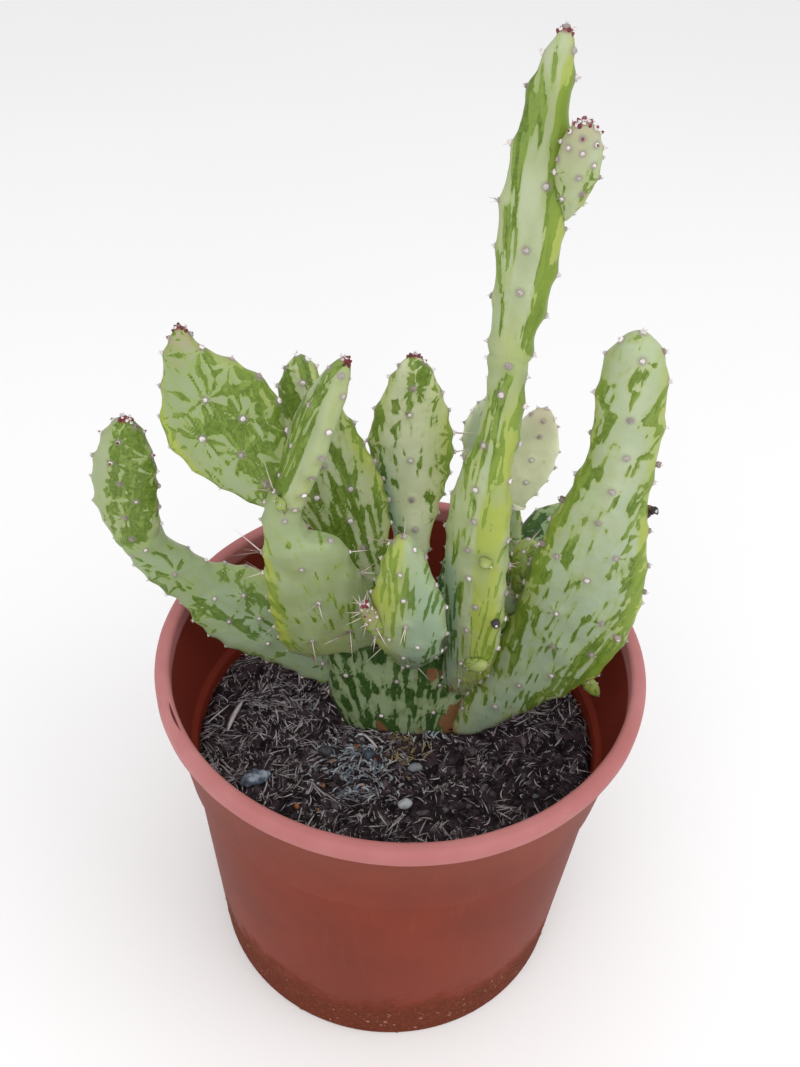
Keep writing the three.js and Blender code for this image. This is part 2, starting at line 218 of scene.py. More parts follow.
def scatterTree():  # puts a shape on every point, turned to face outwards, spun and stretched
    tree = bpy.data.node_groups.new("scatterOnPoints", "GeometryNodeTree")
    for name, kind in (("Geometry", "Geometry"), ("Shape", "Object"), ("Size", "Float"),
                       ("Free spin", "Float"), ("Spin seed", "Int"), ("Material", "Material")):
        tree.interface.new_socket(name, in_out="INPUT", socket_type="NodeSocket" + kind)
    tree.interface.new_socket("Geometry", in_out="OUTPUT", socket_type="NodeSocketGeometry")
    given = addNode(tree, "NodeGroupInput").outputs
    facing, stretch, heading = (
        addNode(tree, "GeometryNodeInputNamedAttribute", {"Name": name}, 0, data_type=kind)
        for name, kind in (("facing", "FLOAT_VECTOR"), ("stretch", "FLOAT_VECTOR"), ("heading", "FLOAT")))
    shape = addNode(tree, "GeometryNodeObjectInfo", {"Object": given["Shape"]}, "Geometry")
    chance = addNode(tree, "FunctionNodeRandomValue", {
        2: 0.0, 3: given["Free spin"], "Seed": given["Spin seed"]}, 1)
    spin = addNode(tree, "ShaderNodeMath", {0: chance, 1: heading}, 0, operation="ADD")
    turn = addNode(tree, "FunctionNodeAxisAngleToRotation", {"Axis": (0, 0, 1), "Angle": spin}, 0)
    align = addNode(tree, "FunctionNodeAlignRotationToVector", {"Vector": facing}, 0, axis="Z")
    rotate = addNode(tree, "FunctionNodeRotateRotation", {"Rotation": align, "Rotate By": turn}, 0,
                     rotation_space="LOCAL")
    scale = addNode(tree, "ShaderNodeVectorMath", {0: stretch, "Scale": given["Size"]}, 0, operation="SCALE")
    place = addNode(tree, "GeometryNodeInstanceOnPoints", {
        "Points": given["Geometry"], "Instance": shape, "Rotation": rotate, "Scale": scale}, 0)
    real = addNode(tree, "GeometryNodeRealizeInstances", {"Geometry": place}, 0)
    paint = addNode(tree, "GeometryNodeSetMaterial", {"Geometry": real, "Material": given["Material"]}, 0)
    addNode(tree, "NodeGroupOutput", {"Geometry": paint})
    return tree


scatterNodes = scatterTree()


def scatter(name, places, shape, material, seed, freeSpin=math.tau):
    # places holds one row a point: at (metres), facing, stretch (mm), tint and perhaps heading (radians)
    obj = meshObject(name, places["at"])
    storeAttribute(obj, "facing", unitRows(places["facing"]))
    for key in ("stretch", "tint", "heading"):
        storeAttribute(obj, key, np.array(places.get(key, np.zeros(len(places["at"]))), float))
    modifier = obj.modifiers.new("scatter", "NODES")
    modifier.node_group = scatterNodes
    values = {"Shape": shape, "Size": mm, "Free spin": freeSpin, "Spin seed": seed, "Material": material}
    for item in scatterNodes.interface.items_tree:
        if item.in_out == "INPUT" and item.name in values:
            modifier[item.identifier] = values[item.name]
    bakeModifiers(obj)
    for left in ("facing", "stretch", "heading"):
        if left in obj.data.attributes:
            obj.data.attributes.remove(obj.data.attributes[left])
    bpy.data.objects.remove(shape)
    finishPiece(obj)
    return obj


def lumpShape(seed, subdivisions=1, rough=0.25, flat=1.0):  # a rough pebble of radius 1
    def build(bm):
        bmesh.ops.create_icosphere(bm, subdivisions=subdivisions, radius=1.0)
        points = np.array([v.co for v in bm.verts])
        lumps = gradientNoise(points * 1.3 + 5, seed) + 0.5 * gradientNoise(points * 3.1, seed + 1)
        grow = 1 + rough * lumps
        for vertex, g in zip(bm.verts, grow):
            vertex.co = Vector((vertex.co.x * g, vertex.co.y * g, vertex.co.z * g * flat))
    return builtObject("lumpShape", build)


def skinRings(bm, rings):  # closes a row of rings of points into a body
    rows = [[bm.verts.new(point) for point in ring] for ring in rings]
    sides = len(rows[0])
    for low, high in zip(rows, rows[1:]):
        for k in range(sides):
            bm.faces.new((low[k], low[(k + 1) % sides], high[(k + 1) % sides], high[k]))
    bm.faces.new(reversed(rows[0]))
    bm.faces.new(rows[-1])


def taperShape(bend, sides, steps, tip):  # a rod one unit long and wide along Z, thinning to its tip
    def build(bm):
        rings = []
        for i in range(steps + 1):
            t = i / steps
            radius = 0.5 * (1 - (1 - tip) * t ** 1.4)
            lean = bend * t * t
            rings.append([Vector((lean + math.cos(a) * radius, math.sin(a) * radius, t))
                          for a in (k * math.tau / sides for k in range(sides))])
        skinRings(bm, rings)
    return builtObject("taperShape", build)


def stripShape(bend, thick, sides=4, steps=5):  # a straw one unit long lying along X, curled sideways and up
    def build(bm):
        rings = []
        for i in range(steps + 1):
            t = i / steps - 0.5
            centre = Vector((t * (1 - 0.3 * abs(bend)), bend * (0.25 - t * t), 0.35 * bend * t * t))
            width = thick * (1 - 0.7 * abs(2 * t) ** 3)
            rings.append([centre + Vector((0, math.cos(a) * width, math.sin(a) * width * 0.45))
                          for a in (k * math.tau / sides for k in range(sides))])
        skinRings(bm, rings)
    return builtObject("stripShape", build)


def startMaterial(name, roughness, grains=(), **sockets):
    # with a noise pattern for each grain, which is (size in mm, detail, roughness)
    material = bpy.data.materials.new(name)
    material.use_nodes = True
    tree = material.node_tree
    shader = tree.nodes["Principled BSDF"]
    shader.inputs["Roughness"].default_value = roughness
    for key, value in sockets.items():
        shader.inputs[key.replace("_", " ")].default_value = value
    where = addNode(tree, "ShaderNodeTexCoord", out="Object")
    patterns = [addNode(tree, "ShaderNodeTexNoise", {
        "Vector": where, "Scale": 1000 / size, "Detail": detail, "Roughness": rough}, "Fac")
        for size, detail, rough in grains]
    return material, tree, shader, where, patterns


def layColours(tree, colour, layers):
    # each layer is (mask, low, high, most, colour): it covers up to most as the mask goes from low to high
    for mask, low, high, most, tone in layers:
        amount = addNode(tree, "ShaderNodeMapRange", {
            "Value": mask, "From Min": low, "From Max": high, "To Max": most}, 0,
            interpolation_type="SMOOTHSTEP")
        tone = hexColour(tone) if isinstance(tone, str) else tone
        colour = hexColour(colour) if isinstance(colour, str) else colour
        colour = addNode(tree, "ShaderNodeMix", {0: amount, 6: colour, 7: tone}, 2, data_type="RGBA")
    return colour


def finishShader(tree, shader, colour, bumps=()):
    # each bump is (height, strength, distance in mm), one over the other
    tree.links.new(colour, shader.inputs["Base Color"])
    normal = None
    for height, strength, distance in bumps:
        inputs = {"Height": height, "Strength": strength, "Distance": distance * mm}
        if normal:
            inputs["Normal"] = normal
        normal = addNode(tree, "ShaderNodeBump", inputs, 0)
    if normal:
        tree.links.new(normal, shader.inputs["Normal"])


def grainyMaterial(name, dark, light, roughness, grainMm=1.0, bump=0.4, **sockets):
    # a granular or fibrous finish that runs from dark to light by each bit's own tint
    material, tree, shader, _, (grain,) = startMaterial(name, roughness, [(grainMm, 3.0, 0.6)], **sockets)
    tint = addNode(tree, "ShaderNodeAttribute", out="Fac", attribute_name="tint")
    shade = addNode(tree, "ShaderNodeMath", {0: grain, 1: 0.7, 2: tint}, 0, operation="MULTIPLY_ADD")
    colour = layColours(tree, dark, [(shade, 0.3, 1.4, 1.0, light)])
    finishShader(tree, shader, colour, [(grain, bump, grainMm * 0.4)])
    return material


skinColours = {
    "young": {
        "ground": "#8F9C6C", "pale": "#DADCB8", "cool": "#9FB094", "veil": "#8C9F56",
        "green": "#667E2A", "greenDeep": "#526A1E", "greenLight": "#8FA450",
        "oldGround": "#8FA58C", "oldGreen": "#4A6A38",
        "margin": "#9EAA46", "marginGreen": "#7E9434", "blush": "#A3846C", "ring": "#8F7F82",
        "cork": "#94684A", "red": "#7C1630", "roughness": 0.44},
    "old": {
        "ground": "#94A67A", "pale": "#B2BE92", "cool": "#8CA286", "veil": "#708A50",
        "green": "#3F5E26", "greenDeep": "#28441A", "greenLight": "#5F7E40",
        "oldGround": "#8BA280", "oldGreen": "#2C4C22",
        "margin": "#98A448", "marginGreen": "#5F802C", "blush": "#A08060", "ring": "#6E6658",
        "cork": "#8A5E40", "red": "#8A1430", "roughness": 0.5},
    "bud": {
        "ground": "#96A65C", "pale": "#C0C490", "cool": "#96A878", "veil": "#88A04A",
        "green": "#7E9038", "greenDeep": "#65782C", "greenLight": "#A8B458",
        "oldGround": "#9CA878", "oldGreen": "#607840",
        "margin": "#AEB24C", "marginGreen": "#8D9C38", "blush": "#B08478", "ring": "#94887C",
        "cork": "#7A5C50", "red": "#9A3040", "roughness": 0.45},
}


def cactusSkin(name, look):
    # variegated epidermis: green only in patches and fibres, under a thin waxy bloom that softens its gloss
    material, tree, shader, _, (cloud, mottle, pores) = startMaterial(
        name, look["roughness"], [(24, 2, 0.5), (5, 4, 0.55), (1.1, 2, 0.5)],
        Subsurface_Weight=0.06, Subsurface_Scale=0.003, Specular_IOR_Level=0.3)
    shader.inputs["Subsurface Radius"].default_value = (0.6, 1.0, 0.35)
    growth = addNode(tree, "ShaderNodeAttribute", out="Vector", attribute_name="growth")  # mm, fibres along Y
    given = {key: addNode(tree, "ShaderNodeAttribute", out="Fac", attribute_name=key) for key in (
        "spotting", "rays", "pallor", "coolness", "yellowing", "ageing", "corky", "redness", "blush",
        "cushionGap")}
    combed = addNode(tree, "ShaderNodeMapping", {"Vector": growth, "Scale": (1.0, 0.13, 0.5)}, 0)
    fibres = addNode(tree, "ShaderNodeTexNoise", {
        "Vector": combed, "Scale": 1.0, "Detail": 3.0, "Roughness": 0.6}, "Fac")        # 1 mm wide
    flecks = addNode(tree, "ShaderNodeTexNoise", {
        "Vector": growth, "Scale": 0.6, "Detail": 3.0, "Roughness": 0.65}, "Fac")       # 1.7 mm
    ragged = given["spotting"]                   # above 0 inside the green patches
    for pattern, share in ((given["rays"], 0.24), (fibres, 1.5), (flecks, 0.9)):
        ragged = addNode(tree, "ShaderNodeMath", {0: pattern, 1: share, 2: ragged}, 0,
                         operation="MULTIPLY_ADD")
    middle = 1.2                                 # what the two noises add on average
    ground = layColours(tree, look["ground"], [
        (given["pallor"], 0.0, 1.0, 1.0, look["pale"]), (cloud, 0.42, 0.62, 0.2, look["cool"]),
        (given["coolness"], 0.0, 1.0, 0.9, look["cool"]), (given["ageing"], 0.0, 1.0, 0.9, look["oldGround"]),
        (given["yellowing"], 0.0, 1.0, 0.95, look["margin"]), (mottle, 0.5, 0.75, 0.16, look["veil"]),
        (given["blush"], 0.0, 1.0, 0.7, look["blush"])])
    veil = layColours(tree, look["veil"], [
        (given["pallor"], 0.0, 1.0, 0.45, look["pale"]), (given["ageing"], 0.0, 1.0, 0.6, look["oldGround"]),
        (given["yellowing"], 0.0, 1.0, 0.6, look["margin"])])
    green = layColours(tree, look["greenDeep"], [
        (flecks, 0.34, 0.62, 1.0, look["green"]), (given["rays"], 0.3, 1.4, 0.45, look["greenLight"]),
        (fibres, 0.55, 0.72, 0.4, look["greenLight"]), (given["ageing"], 0.0, 1.0, 0.9, look["oldGreen"]),
        (given["yellowing"], 0.0, 1.0, 0.8, look["marginGreen"])])
    scars = addNode(tree, "ShaderNodeMath", {0: mottle, 1: 0.9, 2: given["corky"]}, 0,
                    operation="MULTIPLY_ADD")
    skin = layColours(tree, ground, [
        (ragged, middle - 1.2, middle - 0.1, 0.75, veil), (ragged, middle - 0.12, middle + 0.16, 1.0, green),
        (given["cushionGap"], 2.5, 1.0, 0.55, look["ring"]),
        (scars, 0.95, 1.15, 0.95, look["cork"]), (given["redness"], 0.0, 1.0, 1.0, look["red"])])
    finishShader(tree, shader, skin, [
        (mottle, 0.25, 1.0), (fibres, 0.14, 0.5), (pores, 0.10, 0.25), (scars, 0.3, 0.5)])
    gloss = addNode(tree, "ShaderNodeMapRange", {
        "Value": mottle, "From Min": 0.3, "From Max": 0.7, "To Min": look["roughness"] - 0.05,
        "To Max": look["roughness"] + 0.12}, 0)
    tree.links.new(gloss, shader.inputs["Roughness"])
    return material


skinDefaults = {
    "skin": "young", "slot": "pad_flesh", "voxel": 0.8, "smoothing": 9, "swell": 0.5,     # mm, passes, mm
    "sink": 3.0, "lift": 0.0, "seam": 1.2, "rough": 0.5,  # mm: into its parent, away, at a seam, unevenness
    "rimGap": 11.5, "faceGap": 15.5,         # mm between spine cushions along the rim and on the faces
    "mound": 0.6, "rimMound": 1.2, "cushion": 1.1,           # mm: how far they stand out, and their radius
    "spines": 0.0, "spineLength": 9, "knobs": (),            # share of cushions with spines, mm
    "cover": 0.4, "fan": 1.0, "streak": 0.8, "blotch": 0.8,  # share of green, and what draws its edges
    "fanRays": 2.4, "droop": 0.0, "streakWidth": 4.0, "streakLong": 5, "fibre": 1.0,
    "pallor": 0.3, "cool": 0.1, "yellow": 0.4, "age": 0.1, "red": 0.0, "redReach": 4.5, "blush": 0.0,
    "greenZones": (), "yellowZones": (), "ageZones": (), "corkZones": (), "paleZones": (),
}
oldPad = {"skin": "old", "slot": "old_pad_flesh", "voxel": 0.95}
smallPad = {"voxel": 0.7, "rimGap": 7.5, "faceGap": 9, "cushion": 0.85, "mound": 0.35, "rimMound": 0.7}
budLook = {
    "skin": "bud", "slot": "bud_flesh", "voxel": 0.45, "smoothing": 4, "swell": 0.9, "sink": 0.0, "lift": 1.4,
    "rough": 0.15, "rimGap": 9, "faceGap": 9, "cushion": 0.4, "mound": 0.05, "rimMound": 0.05, "cover": 0.3,
    "pallor": 0.1, "blush": 0.3, "yellow": 0.1}

# A zone is (across -1 to 1, along 0 to 1, reach, strength), or with five numbers a band
# (from across, to across, from along, to along, strength). Across runs to the right of the front face.
# A knob is (across, along, radius in mm, tint): a dried flower or a swollen cushion.
padLooks = {
    "mother_pad": {
        **oldPad, "cover": 0.43, "fan": 1.2, "streak": 1.7, "blotch": 0.4, "fanRays": 4.0, "droop": 0.7,
        "streakWidth": 2.3, "streakLong": 7, "age": 0.3, "yellow": 0.0, "mound": 0.5, "rimMound": 0.8,
        "faceGap": 18,
        "corkZones": ((0.75, 0.36, 0.16, 0.7), (0.95, 0.42, 0.2, 0.6), (-0.3, 0.36, 0.10, 0.8),
                      (0.3, 0.33, 0.12, 0.6), (0.45, 0.66, 0.07, 0.9))},
    "left_arm_pad": {
        "cover": 0.22, "fan": 0.9, "streak": 0.7, "age": 0.35, "pallor": 0.0, "yellow": 0.1, "rimGap": 10,
        "faceGap": 12, "cushion": 0.9, "yellowZones": ((0.95, 0.3, 0.4, 0.8),),
        "greenZones": ((0.8, 0.3, 0.3, 0.9), (0.2, 1.0, 0.2, 1.2)), "ageZones": ((0.0, 0.15, 0.5, 0.4),)},
    "left_arm_tip_pad": {
        "cover": 0.60, "fan": 0.9, "blotch": 0.5, "rimGap": 8.5, "faceGap": 11, "yellow": 0.15,
        "cushion": 0.9, "red": 1.0, "redReach": 26, "age": 0.0, "pallor": 0.2,
        "greenZones": ((0.45, 0.55, 0.7, 1.5), (-1.2, -0.55, 0.2, 0.9, -1.8), (0.1, 0.05, 0.25, 0.8))},
    "front_left_pad": {
        "cover": 0.13, "fan": 0.5, "streak": 1.4, "blotch": 0.6, "streakWidth": 3, "fibre": 1.8, "age": 0.0,
        "pallor": 0.05, "yellow": 0.05, "cool": 0.0, "rimGap": 9, "faceGap": 16, "cushion": 0.95,
        "spines": 0.3, "spineLength": 13,
        "greenZones": ((-1.2, -0.66, 0.1, 0.8, 1.1), (0.6, 0.16, 0.2, 1.5), (-0.4, 0.3, 0.3, 0.8)),
        "yellowZones": ((-1.2, -0.78, 0.12, 0.86, 1.2), (-0.7, -0.35, 0.2, 0.5, 0.2), (-0.2, 0.0, 0.3, 0.4)),
        "ageZones": ((0.7, 0.1, 0.4, 0.3),)},
    "blade_pad": {
        "cover": 0.58, "fan": 0.4, "streak": 1.4, "streakWidth": 2.6, "streakLong": 9, "fibre": 1.5,
        "red": 1.0, "yellow": 0.2, "rimGap": 9, "faceGap": 12, "cushion": 0.9, "pallor": 0.25, "age": 0.0,
        "greenZones": ((0.7, 1.3, -0.1, 0.95, -3.0), (0.0, 0.4, 0.5, 0.6)),
        "yellowZones": ((0.1, 0.35, 0.4, 0.4),)},
    "upper_left_pad": {
        "cover": 0.46, "fan": 1.4, "streak": 0.9, "blotch": 0.9, "fanRays": 3.6, "streakWidth": 3,
        "red": 1.0, "redReach": 6, "yellow": 0.45, "rimGap": 12, "faceGap": 14, "blush": 1.0, "pallor": 0.0,
        "cool": 0.05, "age": 0.0,
        "greenZones": ((-0.6, 0.8, 0.4, -0.6), (0.2, 0.12, 0.35, 1.0), (0.3, 0.5, 0.3, 0.5)),
        "yellowZones": ((-1.3, -0.85, 0.3, 1.0, 0.7), (0.3, 0.05, 0.3, 0.4))},
    "back_left_pad": {
        "cover": 0.54, "fan": 0.7, "streak": 1.5, "blotch": 0.6, "streakWidth": 3.2, "streakLong": 7,
        "yellow": 0.45, "rimGap": 10, "faceGap": 14, "pallor": 0.45, "age": 0.0,
        "yellowZones": ((0.95, 0.65, 0.4, 0.5), (-0.5, 0.9, 0.3, 0.2))},
    "centre_back_pad": {
        "cover": 0.27, "fan": 0.9, "streak": 1.2, "blotch": 0.4, "fanRays": 3.6, "streakWidth": 2.8,
        "streakLong": 7, "red": 0.8, "redReach": 6, "yellow": 0.35, "rimGap": 10, "faceGap": 14,
        "spines": 0.1, "pallor": 0.65, "age": 0.0,
        "greenZones": ((-0.3, 0.5, -0.1, 0.78, -1.2), (0.95, 0.6, 0.4, 1.0), (-0.95, 0.6, 0.35, 0.7),
                       (0.0, 0.9, 0.25, 0.9)),
        "yellowZones": ((0.95, 0.62, 0.4, 0.7), (-0.95, 0.75, 0.3, 0.5), (0.0, 0.97, 0.3, 0.4)),
        "ageZones": ((-0.9, 0.4, 0.35, 0.9), (-0.6, 0.15, 0.35, 0.5))},
    "centre_front_pad": {
        "cover": 0.16, "fan": 0.3, "streak": 1.9, "blotch": 0.4, "streakWidth": 1.5, "streakLong": 12,
        "fibre": 2.8, "yellow": 0.2, "rimGap": 9, "faceGap": 12, "cushion": 0.9, "spines": 0.2,
        "spineLength": 11, "pallor": 0.25,
        "greenZones": ((-0.4, 0.9, 0.4, 0.9), (0.9, 0.45, 0.5, 0.5)),
        "yellowZones": ((-0.75, 0.7, 0.5, 0.7), (-0.2, 0.95, 0.35, 0.6), (-0.8, 0.2, 0.3, 0.6)),
        "ageZones": ((0.9, 0.5, 0.7, 1.0), (0.5, 0.2, 0.4, 0.6))},
    "centre_bud": {
        "voxel": 0.55, "swell": 0.4, "lift": 0.0, "rimGap": 4.5, "faceGap": 5, "cushion": 0.8, "red": 0.8,
        "redReach": 7, "spines": 0.35, "spineLength": 7, "blush": 1.4},
    "hidden_back_pad": {**smallPad, **oldPad, "age": 0.8, "cover": 0.5, "yellow": 0.0},
    "pale_back_pad": {**smallPad, "cover": 0.05, "yellow": 0.0, "pallor": 0.8, "cool": 0.5},
    "tall_lower_pad": {
        "cover": 0.26, "fan": 0.3, "streak": 1.9, "blotch": 0.3, "streakWidth": 2.0, "streakLong": 11,
        "fibre": 2.4, "yellow": 0.2, "age": 0.0, "rimGap": 12, "faceGap": 13.5, "spines": 0.12,
        "spineLength": 6, "knobs": ((0.85, 0.36, 2.0, 0.1),),
        "greenZones": ((-0.75, 0.35, 0.4, 1.0), (0.0, 0.6, 0.3, -0.5), (0.7, 0.2, 0.3, 1.0)),
        "yellowZones": ((0.15, 0.9, 0.1, 0.66, 0.9), (0.3, 1.2, 0.62, 1.1, 0.7), (-0.4, 0.8, 0.3, 0.5)),
        "ageZones": ((-1.3, -0.35, 0.0, 0.5, 0.9), (-0.2, 0.1, 0.3, 0.4)),
        "corkZones": ((-0.3, 0.02, 0.13, 0.8), (0.5, 0.03, 0.1, 0.6))},
    "tall_upper_pad": {
        "cover": 0.46, "fan": 0.2, "streak": 1.8, "blotch": 0.3, "streakWidth": 2.8, "streakLong": 12,
        "fibre": 1.8, "red": 0.8, "redReach": 5, "yellow": 0.3, "rimGap": 13, "faceGap": 15,
        "pallor": 0.34, "age": 0.0, "spineLength": 4, "spines": 0.12,
        "greenZones": ((-0.3, 0.4, 0.1, 0.6, -1.6), (0.5, 1.3, 0.1, 0.85, 1.8), (-0.6, 0.8, 0.4, 0.6),
                       (0.0, 0.85, 0.4, 1.3)),
        "yellowZones": ((0.5, 1.3, 0.05, 0.9, 0.6), (0.8, 0.8, 0.35, 0.5), (0.0, 0.0, 0.3, 0.6))},
    "tall_side_pad": {
        **smallPad, "sink": 0.0, "cover": 0.16, "streak": 1.1, "red": 0.5, "redReach": 9, "yellow": 0.2,
        "rimGap": 5.5, "faceGap": 7, "blush": 0.8, "pallor": 0.4,
        "greenZones": ((0.7, 0.35, 0.4, 1.4),), "yellowZones": ((0.7, 0.3, 0.4, 0.5),)},
    "low_leaf": {**smallPad, "cover": 0.25, "age": 0.3},
    "round_pad": {
        **smallPad, "skin": "bud", "cover": 0.35, "yellow": 0.8, "swell": 0.9, "spines": 0.3,
        "spineLength": 6},
    "back_stalk": {**smallPad, "cover": 0.3, "age": 0.3},
    "cream_back_pad": {
        **smallPad, "cover": 0.0, "age": 0.0, "yellow": 0.0, "red": 0.14, "blush": 0.9, "pallor": 1.0,
        "cool": 0.0},
    "low_back_pad": {**smallPad, **oldPad, "age": 0.5},
    "right_pad": {
        "cover": 0.36, "fan": 0.9, "streak": 1.6, "blotch": 0.5, "streakWidth": 3.6, "fibre": 1.4,
        "age": 0.0, "yellow": 0.12, "cool": 0.35, "rimGap": 13, "faceGap": 16, "spines": 0.05,
        "spineLength": 5,
        "knobs": ((1.0, 0.78, 1.4, 0.6), (1.0, 0.53, 1.2, 0.6), (0.8, 0.42, 1.8, 0.9),
                  (-0.95, 0.56, 1.6, 0.55), (-1.0, 0.66, 1.5, 0.45)),
        "greenZones": ((0.72, 1.3, 0.25, 0.75, 1.3), (-1.3, -0.72, 0.12, 0.9, 1.2), (0.1, 0.93, 0.4, -1.0),
                       (0.2, 0.55, 0.3, -0.6), (-0.2, 0.05, 0.3, -1.0), (0.6, 0.35, 0.2, 1.2)),
        "yellowZones": ((0.75, 1.3, 0.2, 0.78, 0.75), (-1.3, -0.78, 0.2, 0.95, 0.5), (0.0, 1.0, 0.25, 0.2),
                        (0.9, 0.9, 0.3, 0.5), (-0.4, 0.72, 0.3, 0.3)),
        "paleZones": ((0.1, 0.85, 0.35, 0.3),),
        "ageZones": ((0.0, 0.35, 0.6, 0.35), (0.0, 0.05, 0.3, 0.5))},
    "right_edge_bud": {
        "swell": 0.4, "lift": 0.6, "corkZones": ((0, 0.6, 2.0, 1.0),),
        "knobs": ((0.0, 0.95, 1.9, 0.1), (0.5, 0.7, 1.4, 0.2))},
}
stems = {                     # pads that run on into each other as one skin
    "tall_stem": ["tall_lower_pad", "tall_upper_pad"], "left_arm": ["left_arm_pad", "left_arm_tip_pad"],
    "front_left_stem": ["front_left_pad", "blade_pad"]}
plantNodes = sorted(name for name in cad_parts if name.endswith(("_pad", "_bud", "_leaf", "_stalk")))
skins = {key: cactusSkin(key + "CactusSkin", look) for key, look in skinColours.items()}
onSkin = {kind: {"at": [], "facing": [], "stretch": [], "tint": []}
          for kind in ("cushions", "spines", "tips", "knobs")}


def addOnSkin(kind, at, facing, stretch, tint):
    for key, value in (("at", at), ("facing", facing), ("stretch", stretch), ("tint", tint)):
        onSkin[kind][key].append(value)


def padDirections(points):  # middle, and the across, along and face directions of a flat stem
    middle = points.mean(0)
    axes = np.linalg.eigh(np.cov((points - middle).T))[1]
    along, face = axes[:, 2], axes[:, 0]
    if along[2] < -0.15 or (abs(along[2]) <= 0.15 and along[0] < 0):
        along = -along
    if face[1] > 0:
        face = -face
    return middle, np.stack([np.cross(along, face), along, face])


def acrossShare(local):  # -1 to 1 between the two edges at each height
    along = local[:, 1]
    steps = np.linspace(along.min(), along.max(), 26)
    which = np.clip(np.digitize(along, steps) - 1, 0, 24)
    low = np.array([local[which == b, 0].min(initial=0) for b in range(25)])
    high = np.array([local[which == b, 0].max(initial=0) for b in range(25)])
    middles = (steps[1:] + steps[:-1]) / 2
    lowAt, highAt = np.interp(along, middles, low), np.interp(along, middles, high)
    return (local[:, 0] - (lowAt + highAt) / 2) / np.maximum((highAt - lowAt) / 2, 1.0)


def zoneField(zones, across, along):
    field = np.zeros(len(across))
    for zone in zones:
        strength = zone[-1]
        if len(zone) == 5:
            a, b, c, d = zone[:4]
            field += strength * (
                smoothStep(a - 0.1, a + 0.1, across) * smoothStep(b + 0.1, b - 0.1, across)
                * smoothStep(c - 0.06, c + 0.06, along) * smoothStep(d + 0.06, d - 0.06, along))
        else:
            u, v, reach = zone[:3]
            field += strength * np.exp(-2 * (((across - u) * 0.5) ** 2 + (along - v) ** 2) / reach ** 2)
    return field


def spreadPoints(features, spacing, chosen, allowed):  # always takes the point farthest from all others next
    chosen = list(chosen)
    gap = np.min([np.linalg.norm(features - features[k], axis=1) for k in chosen], axis=0)
    while True:
        nextPoint = int(np.argmax(np.where(allowed, gap / spacing, 0)))
        if not allowed[nextPoint] or gap[nextPoint] < spacing[nextPoint]:
            return chosen
        chosen.append(nextPoint)
        gap = np.minimum(gap, np.linalg.norm(features - features[nextPoint], axis=1))


def fanNoise(local, cushions, distance, rays, length, seed, droop=0.0):
    # strokes that leave each spine cushion like the ribs of a fan and bend towards the way the pad grows
    nearest = np.argsort(distance, axis=1)[:, :2]
    total, norm = np.zeros(len(local)), np.zeros(len(local))
    closest = np.take_along_axis(distance, nearest[:, :1], 1)[:, 0] + 0.5
    for k in range(nearest.shape[1]):
        which = nearest[:, k]
        d = np.take_along_axis(distance, nearest[:, k:k + 1], 1)[:, 0] + 0.5
        gap = local - local[cushions][which]
        angle = np.arctan2(gap[:, 0] * (1 + d / 14), gap[:, 1])
        spots = np.stack([
            np.cos(angle) * rays + which * 7.31, np.sin(angle) * rays + which * 3.17, d / length], 1)
        weight = (closest / d) ** 8
        total += weight * (gradientNoise(spots + seed, seed) - droop * gap[:, 1] / d)
        norm += weight ** 2
    return total / np.sqrt(norm)


def growthLines(local, length, order):  # mm across and along lines that fan out from a point under the foot
    root = 0.35 * length
    rise = local[:, 1] - local[:, 1].min() + root
    across = np.arctan2(local[:, 0], rise) * (0.5 * length + root)
    return np.stack([across, np.hypot(local[:, 0], rise), local[:, 2] + order * 37.0], 1)


